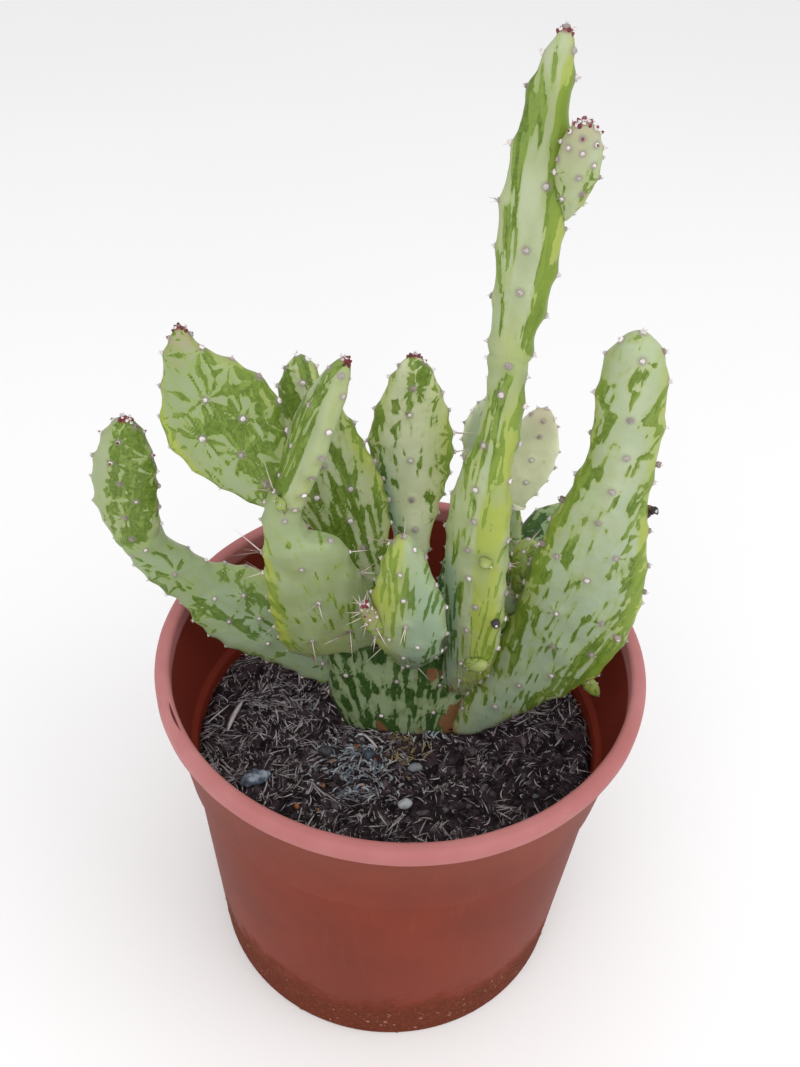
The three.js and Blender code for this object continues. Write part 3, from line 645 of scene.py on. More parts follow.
def buildPad(order, look, points, normals, joinGap, seamGap, toward):
    rng = np.random.default_rng(100 + order)
    middle, axes = padDirections(points)
    local = (points - middle) @ axes.T / mm
    length = np.ptp(local[:, 1])
    along = (local[:, 1] - local[:, 1].min()) / length
    across = acrossShare(local)
    edge = 1 - np.abs(normals @ axes[2])
    free = np.minimum(joinGap, seamGap) > 2.4
    tip = int(np.argmax(np.where(free, local[:, 1], -1e3)))
    tipGap = np.linalg.norm(points - points[tip], axis=1) / mm

    # spine cushions: first round the rim, closer together at the tip, then over both faces
    crowding = 0.55 + 0.45 * smoothStep(4, 20, tipGap)
    features = np.hstack([points / mm, normals * look["faceGap"] * 0.3])
    rim = spreadPoints(features, look["rimGap"] * crowding, [tip], free & (edge > 0.72))
    cushions = spreadPoints(features, look["faceGap"] * crowding, rim, free & (edge < 0.5))
    onRim = np.arange(len(cushions)) < len(rim)
    distance = np.linalg.norm(points[:, None] - points[cushions][None], axis=2) / mm
    nearest, which = distance.min(1), distance.argmin(1)
    height = np.where(onRim, look["rimMound"], look["mound"])
    height = height * (0.35 + 0.65 * smoothStep(3, 16, tipGap[cushions]))
    width = np.where(onRim, 0.3 * look["rimGap"], 0.22 * look["faceGap"])
    relief = height[which] * np.exp(-(nearest / width[which]) ** 2)
    relief -= 0.28 * look["rimMound"] * smoothStep(0.5, 0.9, edge)
    uneven = gradientNoise(points / mm / 13, order) + 0.2 * gradientNoise(points / mm / 4, order + 7)
    relief += look["rough"] * uneven
    relief = relief * smoothStep(0.5, 4, joinGap) + look["seam"] * np.exp(-(seamGap / 5) ** 2)
    sink = look["sink"] * smoothStep(2.8, 0.8, joinGap) * (along < 0.35)  # the foot runs into its parent
    away = -unitRows([toward[joinGap < 4].sum(0)]) * look["lift"]
    moved = points + (normals * relief[:, None] + unitRows(toward) * sink[:, None] + away) * mm

    # green patches: fans from the cushions, streaks along the growth lines, and blots
    growth = growthLines(local, length, order)
    fan = fanNoise(local, cushions, distance, look["fanRays"], 24, order, look["droop"])
    fan = fan + 0.5 * fanNoise(local, cushions, distance, 4, 14, order + 3)
    wide = look["streakWidth"]
    streak = fractalNoise(growth / np.array([wide, look["streakLong"] * wide, 24]), order + 40, 3)
    blotch = fractalNoise(growth / np.array([15, 24, 12]), order + 80, 2)
    field = look["fan"] * fan / fan.std() + look["streak"] * streak / streak.std()
    field = field + look["blotch"] * blotch / blotch.std()
    field = field / field.std() + zoneField(look["greenZones"], across, along)
    cut = np.quantile(field, 1 - look["cover"])
    share = look["fan"] / (look["fan"] + look["streak"])
    fine = fanNoise(local, cushions, distance, 6, 12, order + 5) * share
    fine += gradientNoise(growth / np.array([1.3, 12, 20]), order + 9) * (1 - share)
    wander = 0.5 * fractalNoise(growth / np.array([9, 20, 9]) + 50, order + 11, 2)
    margin = smoothStep(0.62, 0.95, np.abs(across)) + 0.6 * smoothStep(0.3, 0.9, edge)
    yellow = (look["yellow"] * margin + zoneField(look["yellowZones"], across, along)) * (0.9 + wander)
    age = look["age"] + zoneField(look["ageZones"], across, along) + wander * 0.3
    cork = zoneField(look["corkZones"], across, along)
    cork = cork + 0.45 * smoothStep(1.8, 0.4, joinGap) * (look["skin"] != "bud")
    pallor = look["pallor"] + zoneField(look["paleZones"], across, along) + 0.3 * wander
    values = {
        "spotting": field - cut, "rays": look["fibre"] * fine / fine.std(), "pallor": np.clip(pallor, 0, 1),
        "coolness": np.clip(look["cool"] * (1.5 - margin) + 0.5 * wander, 0, 1),
        "yellowing": np.clip(yellow, 0, 1), "ageing": np.clip(age, 0, 1), "corky": np.clip(cork, 0, 1),
        "cushionGap": nearest / look["cushion"],
        "redness": np.clip(look["red"] * smoothStep(3.6, 0.8, tipGap + 2 * wander), 0, 0.8),
        "blush": np.clip(look["blush"] * smoothStep(22, 3, tipGap + 6 * wander) * 0.6, 0, 1),
        "growth": growth}

    for k, spot in enumerate(cushions):
        size = look["cushion"] * rng.uniform(0.75, 1.15) * (1.1 if onRim[k] else 0.95)
        way = normals[spot] + rng.normal(0, 0.06, 3)
        addOnSkin("cushions", moved[spot], way, (size, size, size), rng.uniform(0.1, 1.0))
        if rng.random() < look["spines"]:
            for _ in range(rng.integers(1, 4)):
                long = look["spineLength"] * rng.uniform(0.5, 1.25)
                thick = 0.38 + 0.018 * long
                lean = way + rng.normal(0, 0.4, 3)
                addOnSkin("spines", moved[spot], lean, (thick, thick, long), rng.uniform(0.1, 1))
        if look["red"] > 0.3 and 4.5 < tipGap[spot] < look["redReach"]:
            size = rng.uniform(0.4, 0.6)
            out = moved[spot] + normals[spot] * 0.5 * mm
            addOnSkin("tips", out, way, (size, size, size * 1.5), rng.uniform(0, 0.7))
    if look["red"] > 0.15:
        crown = tipGap < 3.1 - 1.3 * (edge < 0.5)
        for spot in spreadPoints(points / mm, np.full(len(points), 1.2), [tip], crown):
            lean = normals[spot] + rng.normal(0, 0.2, 3) + axes[1] * 0.7
            if rng.random() < 0.35:
                out = moved[spot] + normals[spot] * 0.3 * mm
                addOnSkin("cushions", out, lean, (0.7, 0.7, 0.8), rng.uniform(0.5, 1))
            else:
                size = rng.uniform(0.6, 0.85)
                leaf = (size, size, size * rng.uniform(1.2, 1.9))
                addOnSkin("tips", moved[spot] - normals[spot] * 0.15 * mm, lean, leaf,
                          rng.uniform(0, 1) * (1.3 - look["red"]))
    for knobAcross, knobAlong, radius, tint in look["knobs"]:
        behind = 0.05 * (normals @ axes[2] < 0)
        spot = int(np.argmin((across - knobAcross) ** 2 + 4 * (along - knobAlong) ** 2 + behind))
        out = normals[spot]
        addOnSkin("knobs", moved[spot] + out * radius * 0.4 * mm, out, (radius, radius, radius * 1.1), tint)
        addOnSkin("cushions", moved[spot] + out * radius * 1.35 * mm, out, (0.7, 0.7, 0.6), 0.9)
    return moved, values


def buildStem(name, nodes):  # one skin over the pads of a stem, each with its own pattern
    looks = [{**skinDefaults, **(budLook if node.endswith("_bud") else {}), **padLooks.get(node, {})}
             for node in nodes]
    finest = min(look["voxel"] for look in looks)
    skin = evenCopy(nodes, name, finest, looks[0]["smoothing"], looks[0]["swell"])
    points, normals = pointsOf(skin), normalsOf(skin)
    joinGap, toward = nearestOn(surfaceOf([n for n in plantNodes if n not in nodes]), points, 0.02)
    gaps = np.stack([nearestOn(surfaceOf([node]), points, 0.05)[0] for node in nodes]) / mm
    moved, whole = points.copy(), {}
    for i, (node, look) in enumerate(zip(nodes, looks)):
        mine = np.where(gaps.argmin(0) == i)[0]
        seamGap = np.delete(gaps, i, 0).min(0, initial=50)[mine]
        moved[mine], values = buildPad(plantNodes.index(node), look, points[mine], normals[mine],
                                       joinGap[mine] / mm, seamGap, toward[mine])
        for key, value in values.items():
            whole.setdefault(key, np.zeros((len(points), *value.shape[1:])))[mine] = value
    movePoints(skin, moved)
    if len(nodes) > 1:       # the pattern of one pad fades into the next over the waist between them
        ends = np.empty(len(skin.data.edges) * 2, np.int32)
        skin.data.edges.foreach_get("vertices", ends)
        ends = ends.reshape(-1, 2)
        count = np.bincount(ends.ravel(), minlength=len(points))
        fade = 0.8 * smoothStep(8, 2, np.sort(gaps, 0)[1])
        for key in (key for key in whole if key not in ("growth", "cushionGap")):
            for _ in range(60):
                around = sum(np.bincount(ends[:, a], whole[key][ends[:, b]], len(points))
                             for a, b in ((0, 1), (1, 0)))
                whole[key] += fade * (around / count - whole[key])
    for key, value in whole.items():
        storeAttribute(skin, key, value)
    finishPiece(skin, skins[looks[0]["skin"]], nodes)
    return len(skin.data.polygons)


inStems = [node for nodes in stems.values() for node in nodes]
stems.update({node: [node] for node in plantNodes if node not in inStems})
faceCount = sum(buildStem(name + "_skin", nodes) for name, nodes in stems.items())
print("stage: plant skin,", faceCount, "faces,", len(onSkin["cushions"]["at"]), "spine cushions")

# fine matted hairs
wool = grainyMaterial("feltedWool", "#84766F", "#ECE4E2", 0.9, 0.6, 0.6, Sheen_Weight=0.3)
# hard, slightly glossy
horn = grainyMaterial("hornySpine", "#6A4A40", "#E6D6CE", 0.45, 1.5, 0.1)
# waxy, deep red
youngLeaf = grainyMaterial("crimsonYoungLeaf", "#5E0E1E", "#93384A", 0.35, 1.2, 0.15)
# shrivelled, papery
driedBud = grainyMaterial("driedFlowerRest", "#2E262C", "#A8988C", 0.8, 0.9, 0.8)


def buildOnSkin():
    cushions = onSkin["cushions"]
    at, facing, size = np.array(cushions["at"]), unitRows(cushions["facing"]), np.array(cushions["stretch"])
    places = {**cushions, "at": at + facing * 0.15 * mm}
    scatter("spine_cushions", places, lumpShape(3, 2, 0.3, 0.6), wool, 5)
    rng = np.random.default_rng(8)
    many = np.repeat(np.arange(len(at)), 7)
    long = size[many, 0] * rng.uniform(0.8, 1.6, len(many))
    thick = np.full(len(many), 0.2)
    places = {"at": at[many] + facing[many] * 0.3 * mm,
              "facing": facing[many] + rng.normal(0, 0.6, (len(many), 3)),
              "tint": rng.uniform(0, 0.9, len(many)), "stretch": np.stack([thick, thick, long], 1)}
    scatter("cushion_bristles", places, taperShape(0.15, 3, 1, 0.3), horn, 6)
    scatter("long_spines", onSkin["spines"], taperShape(0.06, 5, 3, 0.08), horn, 9)
    scatter("tip_leaves", onSkin["tips"], lumpShape(8, 2, 0.25, 1.0), youngLeaf, 10)
    scatter("dried_flower_rests", onSkin["knobs"], lumpShape(12, 2, 0.5, 1.0), driedBud, 11)


buildOnSkin()
print("stage: spine cushions, spines and red tips")

soilLook = {
    "voxel": 2.1, "mounds": 1.1, "grit": 0.6, "reach": 98.4,      # mm
    "crumbs": 3600, "straws": 2700, "curls": 3800, "gravel": 40, "ash": 26,
    "dark": "#181113", "mid": "#41343A", "fibre": "#7E7074", "speck": "#B8AEB0",
}


def pottingMix():
    # damp, dark potting mix: rough, with grey-brown fibres and a few pale specks
    material, tree, shader, _, (coarse, fine) = startMaterial(
        "dampPottingMix", 0.92, [(7, 5, 0.65), (1.6, 4, 0.7)], Specular_IOR_Level=0.15)
    colour = layColours(tree, soilLook["dark"], [
        (coarse, 0.38, 0.68, 1.0, soilLook["mid"]), (fine, 0.55, 0.75, 0.6, soilLook["fibre"]),
        (fine, 0.72, 0.80, 0.8, soilLook["speck"])])
    finishShader(tree, shader, colour, [(coarse, 0.6, 2.0), (fine, 0.7, 0.7)])
    return material


def buildSoil():
    soil = evenCopy(["soil"], "soil_bed", soilLook["voxel"])
    points, normals = pointsOf(soil), normalsOf(soil)
    top = smoothStep(0.120, 0.127, points[:, 2]) * smoothStep(0.3, 0.8, normals[:, 2])
    lumps = soilLook["mounds"] * fractalNoise(points / mm / 6, 2, 3)
    lumps = lumps + soilLook["grit"] * gradientNoise(points / mm / 2.2, 9)
    movePoints(soil, points + np.array([0, 0, 1.0]) * (lumps * top * mm)[:, None])
    finishPiece(soil, pottingMix(), ["soil"])
    return soil


soilBed = buildSoil()
soilPoints, soilNormals = pointsOf(soilBed), normalsOf(soilBed)
soilOnTop = np.where((soilPoints[:, 2] > 0.124) & (soilNormals[:, 2] > 0.35))[0]
soilFinder = KDTree(len(soilOnTop))
for i, k in enumerate(soilOnTop):
    soilFinder.insert((soilPoints[k, 0], soilPoints[k, 1], 0), i)
soilFinder.balance()
plantSurface = surfaceOf(plantNodes)


def soilPlaces(count, rng, lift=0.0, clear=0.0015, where=None):  # random spots on the open soil
    at, facing = [], []
    while len(at) < count:
        r, a = soilLook["reach"] * mm * math.sqrt(rng.random()), rng.uniform(0, math.tau)
        spot = (r * math.cos(a), r * math.sin(a), 0)
        if where and rng.random() > where(spot[0] / mm, spot[1] / mm):
            continue
        k = soilOnTop[soilFinder.find(spot)[1]]
        place = np.array([spot[0], spot[1], soilPoints[k, 2] + lift * mm])
        if plantSurface.find_nearest(Vector(place), clear)[0] is None:
            at.append(place)
            facing.append(soilNormals[k])
    return np.array(at), np.array(facing)


def nearTo(x, y, reach):  # a chance that falls off round one spot
    return lambda px, py: math.exp(-((px - x) ** 2 + (py - y) ** 2) / reach ** 2)


def strawPlace(x, y):  # straws lie in clumps, with fewer at the front and on the right
    clump = gradientNoise(np.array([[x / 16, y / 16, 3.5]]), 5)[0]
    leftBack = smoothStep(60, -30, x * 0.6 - y * 0.5 - 10)
    return (0.5 + 0.5 * leftBack) * (0.3 + 0.7 * smoothStep(-0.4, 0.4, clump))


def flatPlaces(count, rng, sizes, where, lift=0.5, clear=0.0015):
    # straws that lie much as their neighbours do, and short enough that no end reaches the pot wall
    at, facing = soilPlaces(count, rng, lift, clear, where)
    wall, least = 100.5, 2.5                     # mm: the wall's radius at the soil, the shortest straw
    room = np.maximum(2 * (wall - np.hypot(at[:, 0], at[:, 1]) / mm), least)
    size = np.minimum(sizes[0] + (sizes[1] - sizes[0]) * rng.random(count) ** 2, room)
    width = np.maximum(size, 4.0) * rng.uniform(0.7, 1.2, count)
    flow = 4.5 * gradientNoise(np.hstack([at[:, :2] / mm / 26, np.full((count, 1), 1.7)]), 15)
    return {"at": at, "facing": facing * 0.5 + np.array([0, 0, 0.8]) + rng.normal(0, 0.11, (count, 3)),
            "stretch": np.stack([size, width, width], 1), "tint": rng.random(count) ** 1.2,
            "heading": flow + rng.normal(0, 0.55, count)}


def buildLitter():
    rng = np.random.default_rng(21)
    # rotted bark and bleached, split stalks, all matt
    crumb = grainyMaterial("barkAndCoirCrumb", "#171012", "#62565A", 0.9, 1.2, 0.6, Specular_IOR_Level=0.15)
    straw = grainyMaterial("weatheredStraw", "#4A4042", "#CEC6C8", 0.8, 2.0, 0.4, Specular_IOR_Level=0.2)
    # broken stone, chalky flakes, dry coconut fibre, and red and orange grit
    gravel = grainyMaterial("greyGravel", "#2C2E34", "#6A6C72", 0.6, 1.5, 0.3)
    ash = grainyMaterial("paleWoodAsh", "#626A74", "#BCC2CA", 0.9, 1.0, 0.5)
    golden = grainyMaterial("goldenCoirFibre", "#5E4A30", "#B09A6C", 0.8, 1.5, 0.3)
    brick = grainyMaterial("brickGrit", "#7A3A22", "#B87838", 0.8, 1.0, 0.4)
    for variant in range(3):
        count = soilLook["crumbs"] // 3
        at, facing = soilPlaces(count, rng, -0.1)
        size = 0.4 + 1.9 * rng.random(count) ** 4
        stretch = np.stack([size * rng.uniform(1, 2.2, count), size, size * rng.uniform(0.5, 1.0, count)], 1)
        places = {"at": at, "facing": facing + rng.normal(0, 0.3, (count, 3)), "stretch": stretch,
                  "tint": rng.random(count) ** 2}
        shape = lumpShape(30 + variant, 1, 0.5, 0.6)
        scatter(f"soil_crumbs_{variant + 1}", places, shape, crumb, 40 + variant)
    # straws everywhere, then ash curls in front of the plant, a few beside it, and a tuft of golden fibres
    half = soilLook["curls"] // 2
    for name, count, sizes, where, lift, shape, stuff, seed in (
            ("straw_bits", soilLook["straws"], (2.5, 12), strawPlace, 0.5, (0.12, 0.045, 3, 3), straw, 50),
            ("straw_bows", half, (2, 8), strawPlace, 0.5, (0.5, 0.06, 3, 4), straw, 51),
            ("straw_curls", half, (1.5, 4), strawPlace, 0.5, (1.1, 0.10, 3, 5), straw, 52),
            ("long_straws", 5, (15, 22), strawPlace, 0.5, (0.1, 0.02, 3, 4), straw, 53),
            ("ash_curls", 190, (3, 8), nearTo(-18, -27, 13), 0.9, (0.9, 0.10), ash, 54),
            ("pale_curls", 22, (4, 9), nearTo(18, 0, 6), 1.3, (0.6, 0.12), ash, 57),
            ("golden_fibres", 70, (2.5, 6), nearTo(5, -16, 7), 1.0, (0.3, 0.07), golden, 55)):
        clear = 0.0015 if sizes[1] < 15 else 0.005
        places = flatPlaces(count, rng, sizes, where, lift, clear)
        scatter(name, places, stripShape(*shape), stuff, seed, 0.0)
    spots = [(-82, 0), (-13, -12), (-91, 1), (-30, -46)]                       # mm
    heights = [soilPoints[soilOnTop[soilFinder.find((x * mm, y * mm, 0))[1]], 2] + 2.2 * mm for x, y in spots]
    sticks = {"at": [(x * mm, y * mm, z) for (x, y), z in zip(spots, heights)],
              "facing": [(0.05, 0, 1), (0, 0.1, 1), (0.1, 0, 1), (0, 0, 1)], "tint": [0.75, 0.9, 0.8, 0.6],
              "stretch": [(22, 24, 8), (13, 14, 6), (19, 8, 6), (12, 6, 5)],
              "heading": [1.35, -0.9, 1.0, -0.6]}
    scatter("flat_sticks", sticks, stripShape(0.15, 0.06), straw, 56, 0.0)
    for name, count, stuff, least, most, flat, where, seed in (
            ("fine_gravel", soilLook["gravel"], gravel, 0.7, 1.6, 0.75, None, 61),
            ("ash_flakes", soilLook["ash"], ash, 0.7, 1.8, 0.22, nearTo(-14, -30, 20), 62),
            ("brick_grit", 7, brick, 0.7, 1.3, 0.8, nearTo(-25, -25, 20), 63)):
        at, facing = soilPlaces(count, rng, 0.3, 0.003, where)
        size = least + (most - least) * rng.random(count) ** 2
        places = {"at": at, "facing": facing, "stretch": np.stack([size * 1.3, size, size], 1),
                  "tint": rng.random(count)}
        shape = lumpShape(seed, 1 if flat < 0.5 else 2, 0.55, flat)
        scatter(name, places, shape, stuff, seed)


buildLitter()
print("stage: soil and litter")

stoneLooks = {                 # the last number is how uneven it is
    "white_pebble": ("quartzPebble", "#BCC0C6", "#9A8E92", 0.5, "pale_pebble", 1.0),
    "flat_blue_stone": ("blueSlateLump", "#4E5C6C", "#A4AEBA", 0.7, "dark_pebble", 3.0),
    "round_dark_stone": ("basaltPebble", "#3E4048", "#24262A", 0.5, "dark_pebble", 1.0),
    "small_dark_stone": ("greyPebble", "#3C4A58", "#2A3038", 0.6, "dark_pebble", 1.0),
    "grey_chip": ("limestoneChip", "#80848A", "#50545A", 0.7, "pale_pebble", 1.0),
}


def buildStones():
    for order, (node, (finish, base, vein, roughness, slot, rough)) in enumerate(stoneLooks.items()):
        stone = cadCopy([node], node + "_worn")
        rounded = stone.modifiers.new("round", "SUBSURF")
        rounded.levels = rounded.render_levels = 2
        bakeModifiers(stone)
        points, normals = pointsOf(stone), normalsOf(stone)
        uneven = 0.35 * gradientNoise(points / mm / 3 + order, order)
        uneven = rough * (uneven + 0.14 * gradientNoise(points / mm / 1.1, order))
        movePoints(stone, points + normals * (uneven * mm)[:, None])
        # water-worn, with fine mineral grain
        material, tree, shader, _, (grain, veins) = startMaterial(
            finish, roughness, [(1.2, 5, 0.7), (3.5, 3, 0.6)])
        colour = layColours(tree, base, [(veins, 0.45, 0.68, 1.0, vein), (grain, 0.55, 0.8, 0.5, vein)])
        finishShader(tree, shader, colour, [(grain, 0.4, 0.4)])
        finishPiece(stone, material, [node])


def buildRoots():
    roots = cadCopy(["roots"], "root_wood")
    rounded = roots.modifiers.new("round", "SUBSURF")
    rounded.levels = rounded.render_levels = 1
    bakeModifiers(roots)
    points, normals = pointsOf(roots), normalsOf(roots)
    ridges = 0.4 * gradientNoise(points / mm / np.array([3, 3, 9]), 3)
    movePoints(roots, points + normals * (ridges * mm)[:, None])
    # flaking, fibrous bark
    material, tree, shader, _, (grain,) = startMaterial("corkyRoot", 0.85, [(3, 5, 0.7)])
    colour = layColours(tree, "#6A4C34", [(grain, 0.35, 0.65, 1.0, "#A88660")])
    finishShader(tree, shader, colour, [(grain, 0.5, 0.8)])
    finishPiece(roots, material, ["roots"])


buildStones()
buildRoots()
print("stage: stones and roots")

potLook = {
    "body": "#7C2F1A", "bodyDark": "#702A18", "dust": "#8E5040", "rim": "#AE6C6A", "rimPale": "#BC7E7E",
    # the colour for the step's crease is painted shade: a dark line under the overhang of the step in the
    # wall
    "paintedStepShade": "#4A2016", "mud": "#632C1B", "mudPale": "#7E402A", "mudTop": 36, "inside": "#7A2E22",
    "sides": 192, "wobble": 0.35, "drainHoles": 6, "drainCircle": 60, "drainRadius": 6,      # mm
    "slitAngle": 208, "slitSpan": 9, "slitRadius": 110.3, "slitWidth": 1.3,                  # degrees and mm
}


def potPlastic():
    # injection-moulded polypropylene, terracotta coloured, chalked by sun at the rim and splashed with
    # mud low down, with a painted shadow line under the step in the wall
    material, tree, shader, where, (cloud, patches, specks) = startMaterial(
        "weatheredPolypropylene", 0.55, [(70, 4, 0.6), (16, 5, 0.7), (1.8, 3, 0.75)],
        Specular_IOR_Level=0.08)
    split = addNode(tree, "ShaderNodeSeparateXYZ", {0: where})
    height = split.outputs["Z"]
    # runs go down the wall and scuffs go round it
    runs, scuffs = (
        addNode(tree, "ShaderNodeTexNoise", {
            "Vector": addNode(tree, "ShaderNodeMapping", {"Vector": where, "Scale": drawn}, 0),
            "Scale": 1000 / size, "Detail": detail, "Roughness": rough}, "Fac")
        for drawn, size, detail, rough in (((1, 1, 0.1), 5, 4, 0.6), ((0.1, 0.1, 1), 1.6, 3, 0.7)))
    inside = addNode(tree, "ShaderNodeAttribute", out="Fac", attribute_name="inside")
    crease = addNode(tree, "ShaderNodeAttribute", out="Fac", attribute_name="crease")
    ragged = addNode(tree, "ShaderNodeMath", {0: patches, 1: -0.046, 2: height}, 0, operation="MULTIPLY_ADD")
    top, mudTop = potTop * mm, (potLook["mudTop"] - 23) * mm
    rim = layColours(tree, potLook["rim"], [
        (cloud, 0.35, 0.7, 1.0, potLook["rimPale"]), (scuffs, 0.6, 0.8, 0.3, potLook["dust"])])
    # the crease layer is painted shade, a dark line drawn where the step in the wall overhangs
    colour = layColours(tree, potLook["bodyDark"], [
        (cloud, 0.35, 0.68, 1.0, potLook["body"]), (runs, 0.55, 0.85, 0.25, potLook["dust"]),
        (scuffs, 0.62, 0.8, 0.15, potLook["dust"]), (height, top - 0.050, top - 0.012, 0.25, potLook["dust"]),
        (inside, 0.0, 1.0, 0.85, potLook["inside"]), (crease, 0.2, 1.0, 0.6, potLook["paintedStepShade"]),
        (height, top - 0.0105, top - 0.0075, 1.0, rim)])
    mud = layColours(tree, potLook["mud"], [(specks, 0.45, 0.70, 1.0, potLook["mudPale"])])
    mudCover = addNode(tree, "ShaderNodeMapRange", {
        "Value": ragged, "From Min": mudTop + 0.008, "From Max": mudTop - 0.012, "To Max": 0.85}, 0,
        interpolation_type="SMOOTHSTEP")
    colour = layColours(tree, colour, [(mudCover, 0.0, 1.0, 1.0, mud)])
    rough = addNode(tree, "ShaderNodeMath", {0: mudCover, 1: 0.35, 2: 0.5}, 0, operation="MULTIPLY_ADD")
    tree.links.new(rough, shader.inputs["Roughness"])
    mudGrain = addNode(tree, "ShaderNodeMath", {0: specks, 1: mudCover}, 0, operation="MULTIPLY")
    finishShader(tree, shader, colour, [(scuffs, 0.08, 0.3), (mudGrain, 0.8, 0.9)])
    return material


def roundedOutline(corners, steps=5):  # corners are (radius, height, fillet) in mm
    outline = []
    for i, (x, y, fillet) in enumerate(corners):
        here = Vector((x, y))
        if fillet == 0 or i in (0, len(corners) - 1):
            outline.append(here)
            continue
        before = (Vector(corners[i - 1][:2]) - here).normalized()
        after = (Vector(corners[i + 1][:2]) - here).normalized()
        half = before.angle(after) / 2
        back = fillet / math.tan(half)
        centre = here + (before + after).normalized() * fillet / math.sin(half)
        start, end = here + before * back - centre, here + after * back - centre
        turn = start.angle_signed(end)
        outline += [centre + Matrix.Rotation(-turn * k / steps, 2) @ start for k in range(steps + 1)]
    return outline


def potCutters(bm):  # drain holes in the floor and a split in the rim
    for i in range(potLook["drainHoles"]):
        angle = (i + 0.5) * math.tau / potLook["drainHoles"]
        reach = potLook["drainCircle"] * mm
        place = Matrix.Translation((reach * math.cos(angle), reach * math.sin(angle), 0))
        radius = potLook["drainRadius"] * mm
        bmesh.ops.create_cone(bm, cap_ends=True, segments=32, radius1=radius, radius2=radius,
                              depth=0.02, matrix=place)
    rings = []
    for k in range(9):
        share = k / 4 - 1
        angle = math.radians(potLook["slitAngle"] + share * potLook["slitSpan"] / 2)
        half = max(potLook["slitWidth"] / 2 * (1 - share * share), 0.08)
        radii = [(potLook["slitRadius"] + side * half) * mm for side in (-1, 1)]
        low, high = potTop - 5, potTop + 2
        corners = [(radii[0], low), (radii[1], low), (radii[1], high), (radii[0], high)]
        rings.append([Vector((r * math.cos(angle), r * math.sin(angle), z * mm)) for r, z in corners])
    skinRings(bm, rings)


def buildPot():
    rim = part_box("pot")[1].x / mm
    corners = [
        (0, 0, 0), (93, 0, 2.2), (102, 133, 1.2), (104.6, 135.5, 1.0), (rim - 4, potTop - 9.6, 0.8),
        (rim, potTop - 8.2, 1.6), (rim, potTop, 3.2), (rim - 7, potTop, 2.6), (rim - 7.3, potTop - 11, 4),
        (102.4, 137.5, 1.5), (99.6, 134.5, 1.2), (90.8, 2.8, 3.0), (0, 2.8, 0)]
    outline = roundedOutline(corners)
    edges = [(i, i + 1) for i in range(len(outline) - 1)]
    pot = meshObject("nursery_pot", [(p.x * mm, 0, p.y * mm) for p in outline], edges)
    screw = pot.modifiers.new("turn", "SCREW")
    screw.steps = screw.render_steps = potLook["sides"]
    screw.use_merge_vertices, screw.merge_threshold = True, 1e-6
    bakeModifiers(pot)
    bm = bmesh.new()
    bm.from_mesh(pot.data)
    bmesh.ops.remove_doubles(bm, verts=bm.verts, dist=1e-7)
    bmesh.ops.recalc_face_normals(bm, faces=bm.faces)
    bm.to_mesh(pot.data)
    bm.free()
    cutter = builtObject("potCutters", potCutters)
    cut = pot.modifiers.new("cut", "BOOLEAN")
    cut.operation, cut.solver, cut.object = "DIFFERENCE", "EXACT", cutter
    bakeModifiers(pot)
    bpy.data.objects.remove(cutter)
    points, normals = pointsOf(pot), normalsOf(pot)
    angle = np.arctan2(points[:, 1], points[:, 0])
    radial = np.stack([np.cos(angle), np.sin(angle), 0 * angle], 1)
    facingIn = smoothStep(0.15, -0.15, np.sum(radial * normals, 1)) * (points[:, 2] < (potTop - 1) * mm)
    storeAttribute(pot, "inside", np.where(points[:, 2] < 0.002, 0, facingIn))
    # the crease mask places painted shade: a thin dark band on the outside, just under the step's overhang
    stepHeight, creaseReach = 133.6, 0.9         # mm
    stepGap = (points[:, 2] / mm - stepHeight) / creaseReach
    storeAttribute(pot, "crease", np.where(np.sum(radial * normals, 1) > 0, np.exp(-stepGap ** 2), 0))
    lift = smoothStep(0.02, 0.19, points[:, 2])
    wobble = potLook["wobble"] * 0.6 * (np.sin(2 * angle + 0.6) + 0.5 * np.sin(5 * angle + 1.9))
    ripple = 0.12 * gradientNoise(np.stack([angle * 9, points[:, 2] / 0.02, 0 * angle], 1), 4)
    movePoints(pot, points + radial * (((wobble + ripple) * lift - 0.3) * mm)[:, None])
    finishPiece(pot, potPlastic(), ["pot"])


def buildMudCrumbs():
    rng = np.random.default_rng(77)
    count = 560
    angle = rng.uniform(0, math.tau, count)
    edge = 26 + 5 * np.sin(2 * angle + 1) + 3 * np.sin(5 * angle) + 2 * np.sin(11 * angle)  # mm, mud line
    high = np.where(rng.random(count) < 0.5, edge + rng.normal(0, 3.5, count),
                    1.5 + edge * rng.random(count))
    out = np.stack([np.cos(angle), np.sin(angle), 0 * angle], 1)
    foot, slope = 92.75, 9 / 133                 # mm, and how far the wall leans out for each mm of height
    at = out * ((foot + slope * high) * mm)[:, None] + np.array([0, 0, 1.0]) * (high * mm)[:, None]
    size = 0.25 + 0.75 * rng.random(count) ** 4
    places = {"at": at, "facing": out, "stretch": np.stack([size * 1.5, size, size * 0.6], 1),
              "tint": rng.random(count)}
    mud = grainyMaterial("driedMud", "#5A2C1E", "#9C6C52", 0.95, 1.0, 0.5)  # crusted, matt
    scatter("dried_mud", places, lumpShape(70, 1, 0.5, 0.7), mud, 71)


buildPot()
buildMudCrumbs()
print("stage: pot")

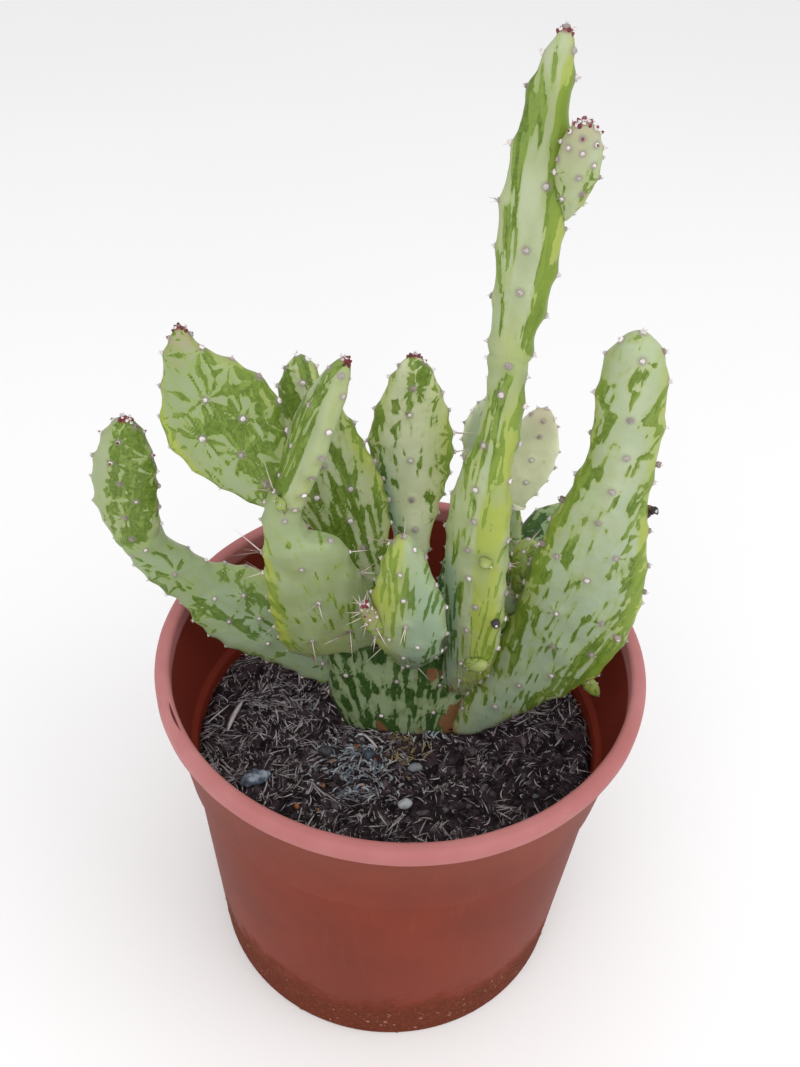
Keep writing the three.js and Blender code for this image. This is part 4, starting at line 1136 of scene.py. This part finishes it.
stageLook = {
    "floor": "#FBFAF9", "floorPale": "#FDFCFB", "sky": "#F8F9FB", "skyStrength": 0.87,
    "lights": (                                               # place and width in metres, watts
        ("keyLight", (-0.25, -1.25, 1.5), 1.6, 12.0), ("sideLight", (1.2, -0.5, 1.4), 1.2, 6.0)),
    "lens": 37.1, "sensor": 36, "eye": (0, -0.365, 0.5642),   # mm, mm, metres
    "down": 39.78, "left": -0.59, "roll": 3.1,                # degrees
}


def buildStage():
    floor = meshObject("floor", [(-6, -6, 0), (6, -6, 0), (6, 6, 0), (-6, 6, 0)], (), [(0, 1, 2, 3)])
    # smooth and dull, with hardly any pattern
    material, tree, shader, _, (cloud,) = startMaterial("paleMattFloor", 0.9, [(900, 2, 0.5)])
    colour = layColours(tree, stageLook["floor"], [(cloud, 0.3, 0.7, 1.0, stageLook["floorPale"])])
    finishShader(tree, shader, colour)
    floor.data.materials.append(material)
    world = bpy.data.worlds.new("overcastSky")
    bpy.context.scene.world = world
    world.use_nodes = True
    sky = world.node_tree.nodes["Background"]
    sky.inputs["Color"].default_value = hexColour(stageLook["sky"])
    sky.inputs["Strength"].default_value = stageLook["skyStrength"]
    bpy.context.scene.view_settings.view_transform = "Standard"       # colours are shown as they are mixed
    for name, place, size, power in stageLook["lights"]:
        light = bpy.data.lights.new(name, "AREA")
        light.size, light.energy = size, power
        lamp = bpy.data.objects.new(name, light)
        lamp.location = place
        lamp.rotation_euler = (Vector((0, 0, 0.2)) - Vector(place)).to_track_quat("-Z", "Y").to_euler()
        bpy.context.scene.collection.objects.link(lamp)


def buildCamera():
    lens = bpy.data.cameras.new("viewCamera")
    lens.sensor_width, lens.lens, lens.clip_end = stageLook["sensor"], stageLook["lens"], 20
    camera = bpy.data.objects.new("viewCamera", lens)
    camera.location = stageLook["eye"]
    down, left, roll = (math.radians(stageLook[key]) for key in ("down", "left", "roll"))
    turn = Matrix.Rotation(-left, 3, "Z") @ Matrix.Rotation(math.pi / 2 - down, 3, "X")
    turn = turn @ Matrix.Rotation(roll, 3, "Z")
    camera.rotation_euler = turn.to_euler()
    bpy.context.scene.collection.objects.link(camera)
    bpy.context.scene.camera = camera


buildStage()
buildCamera()
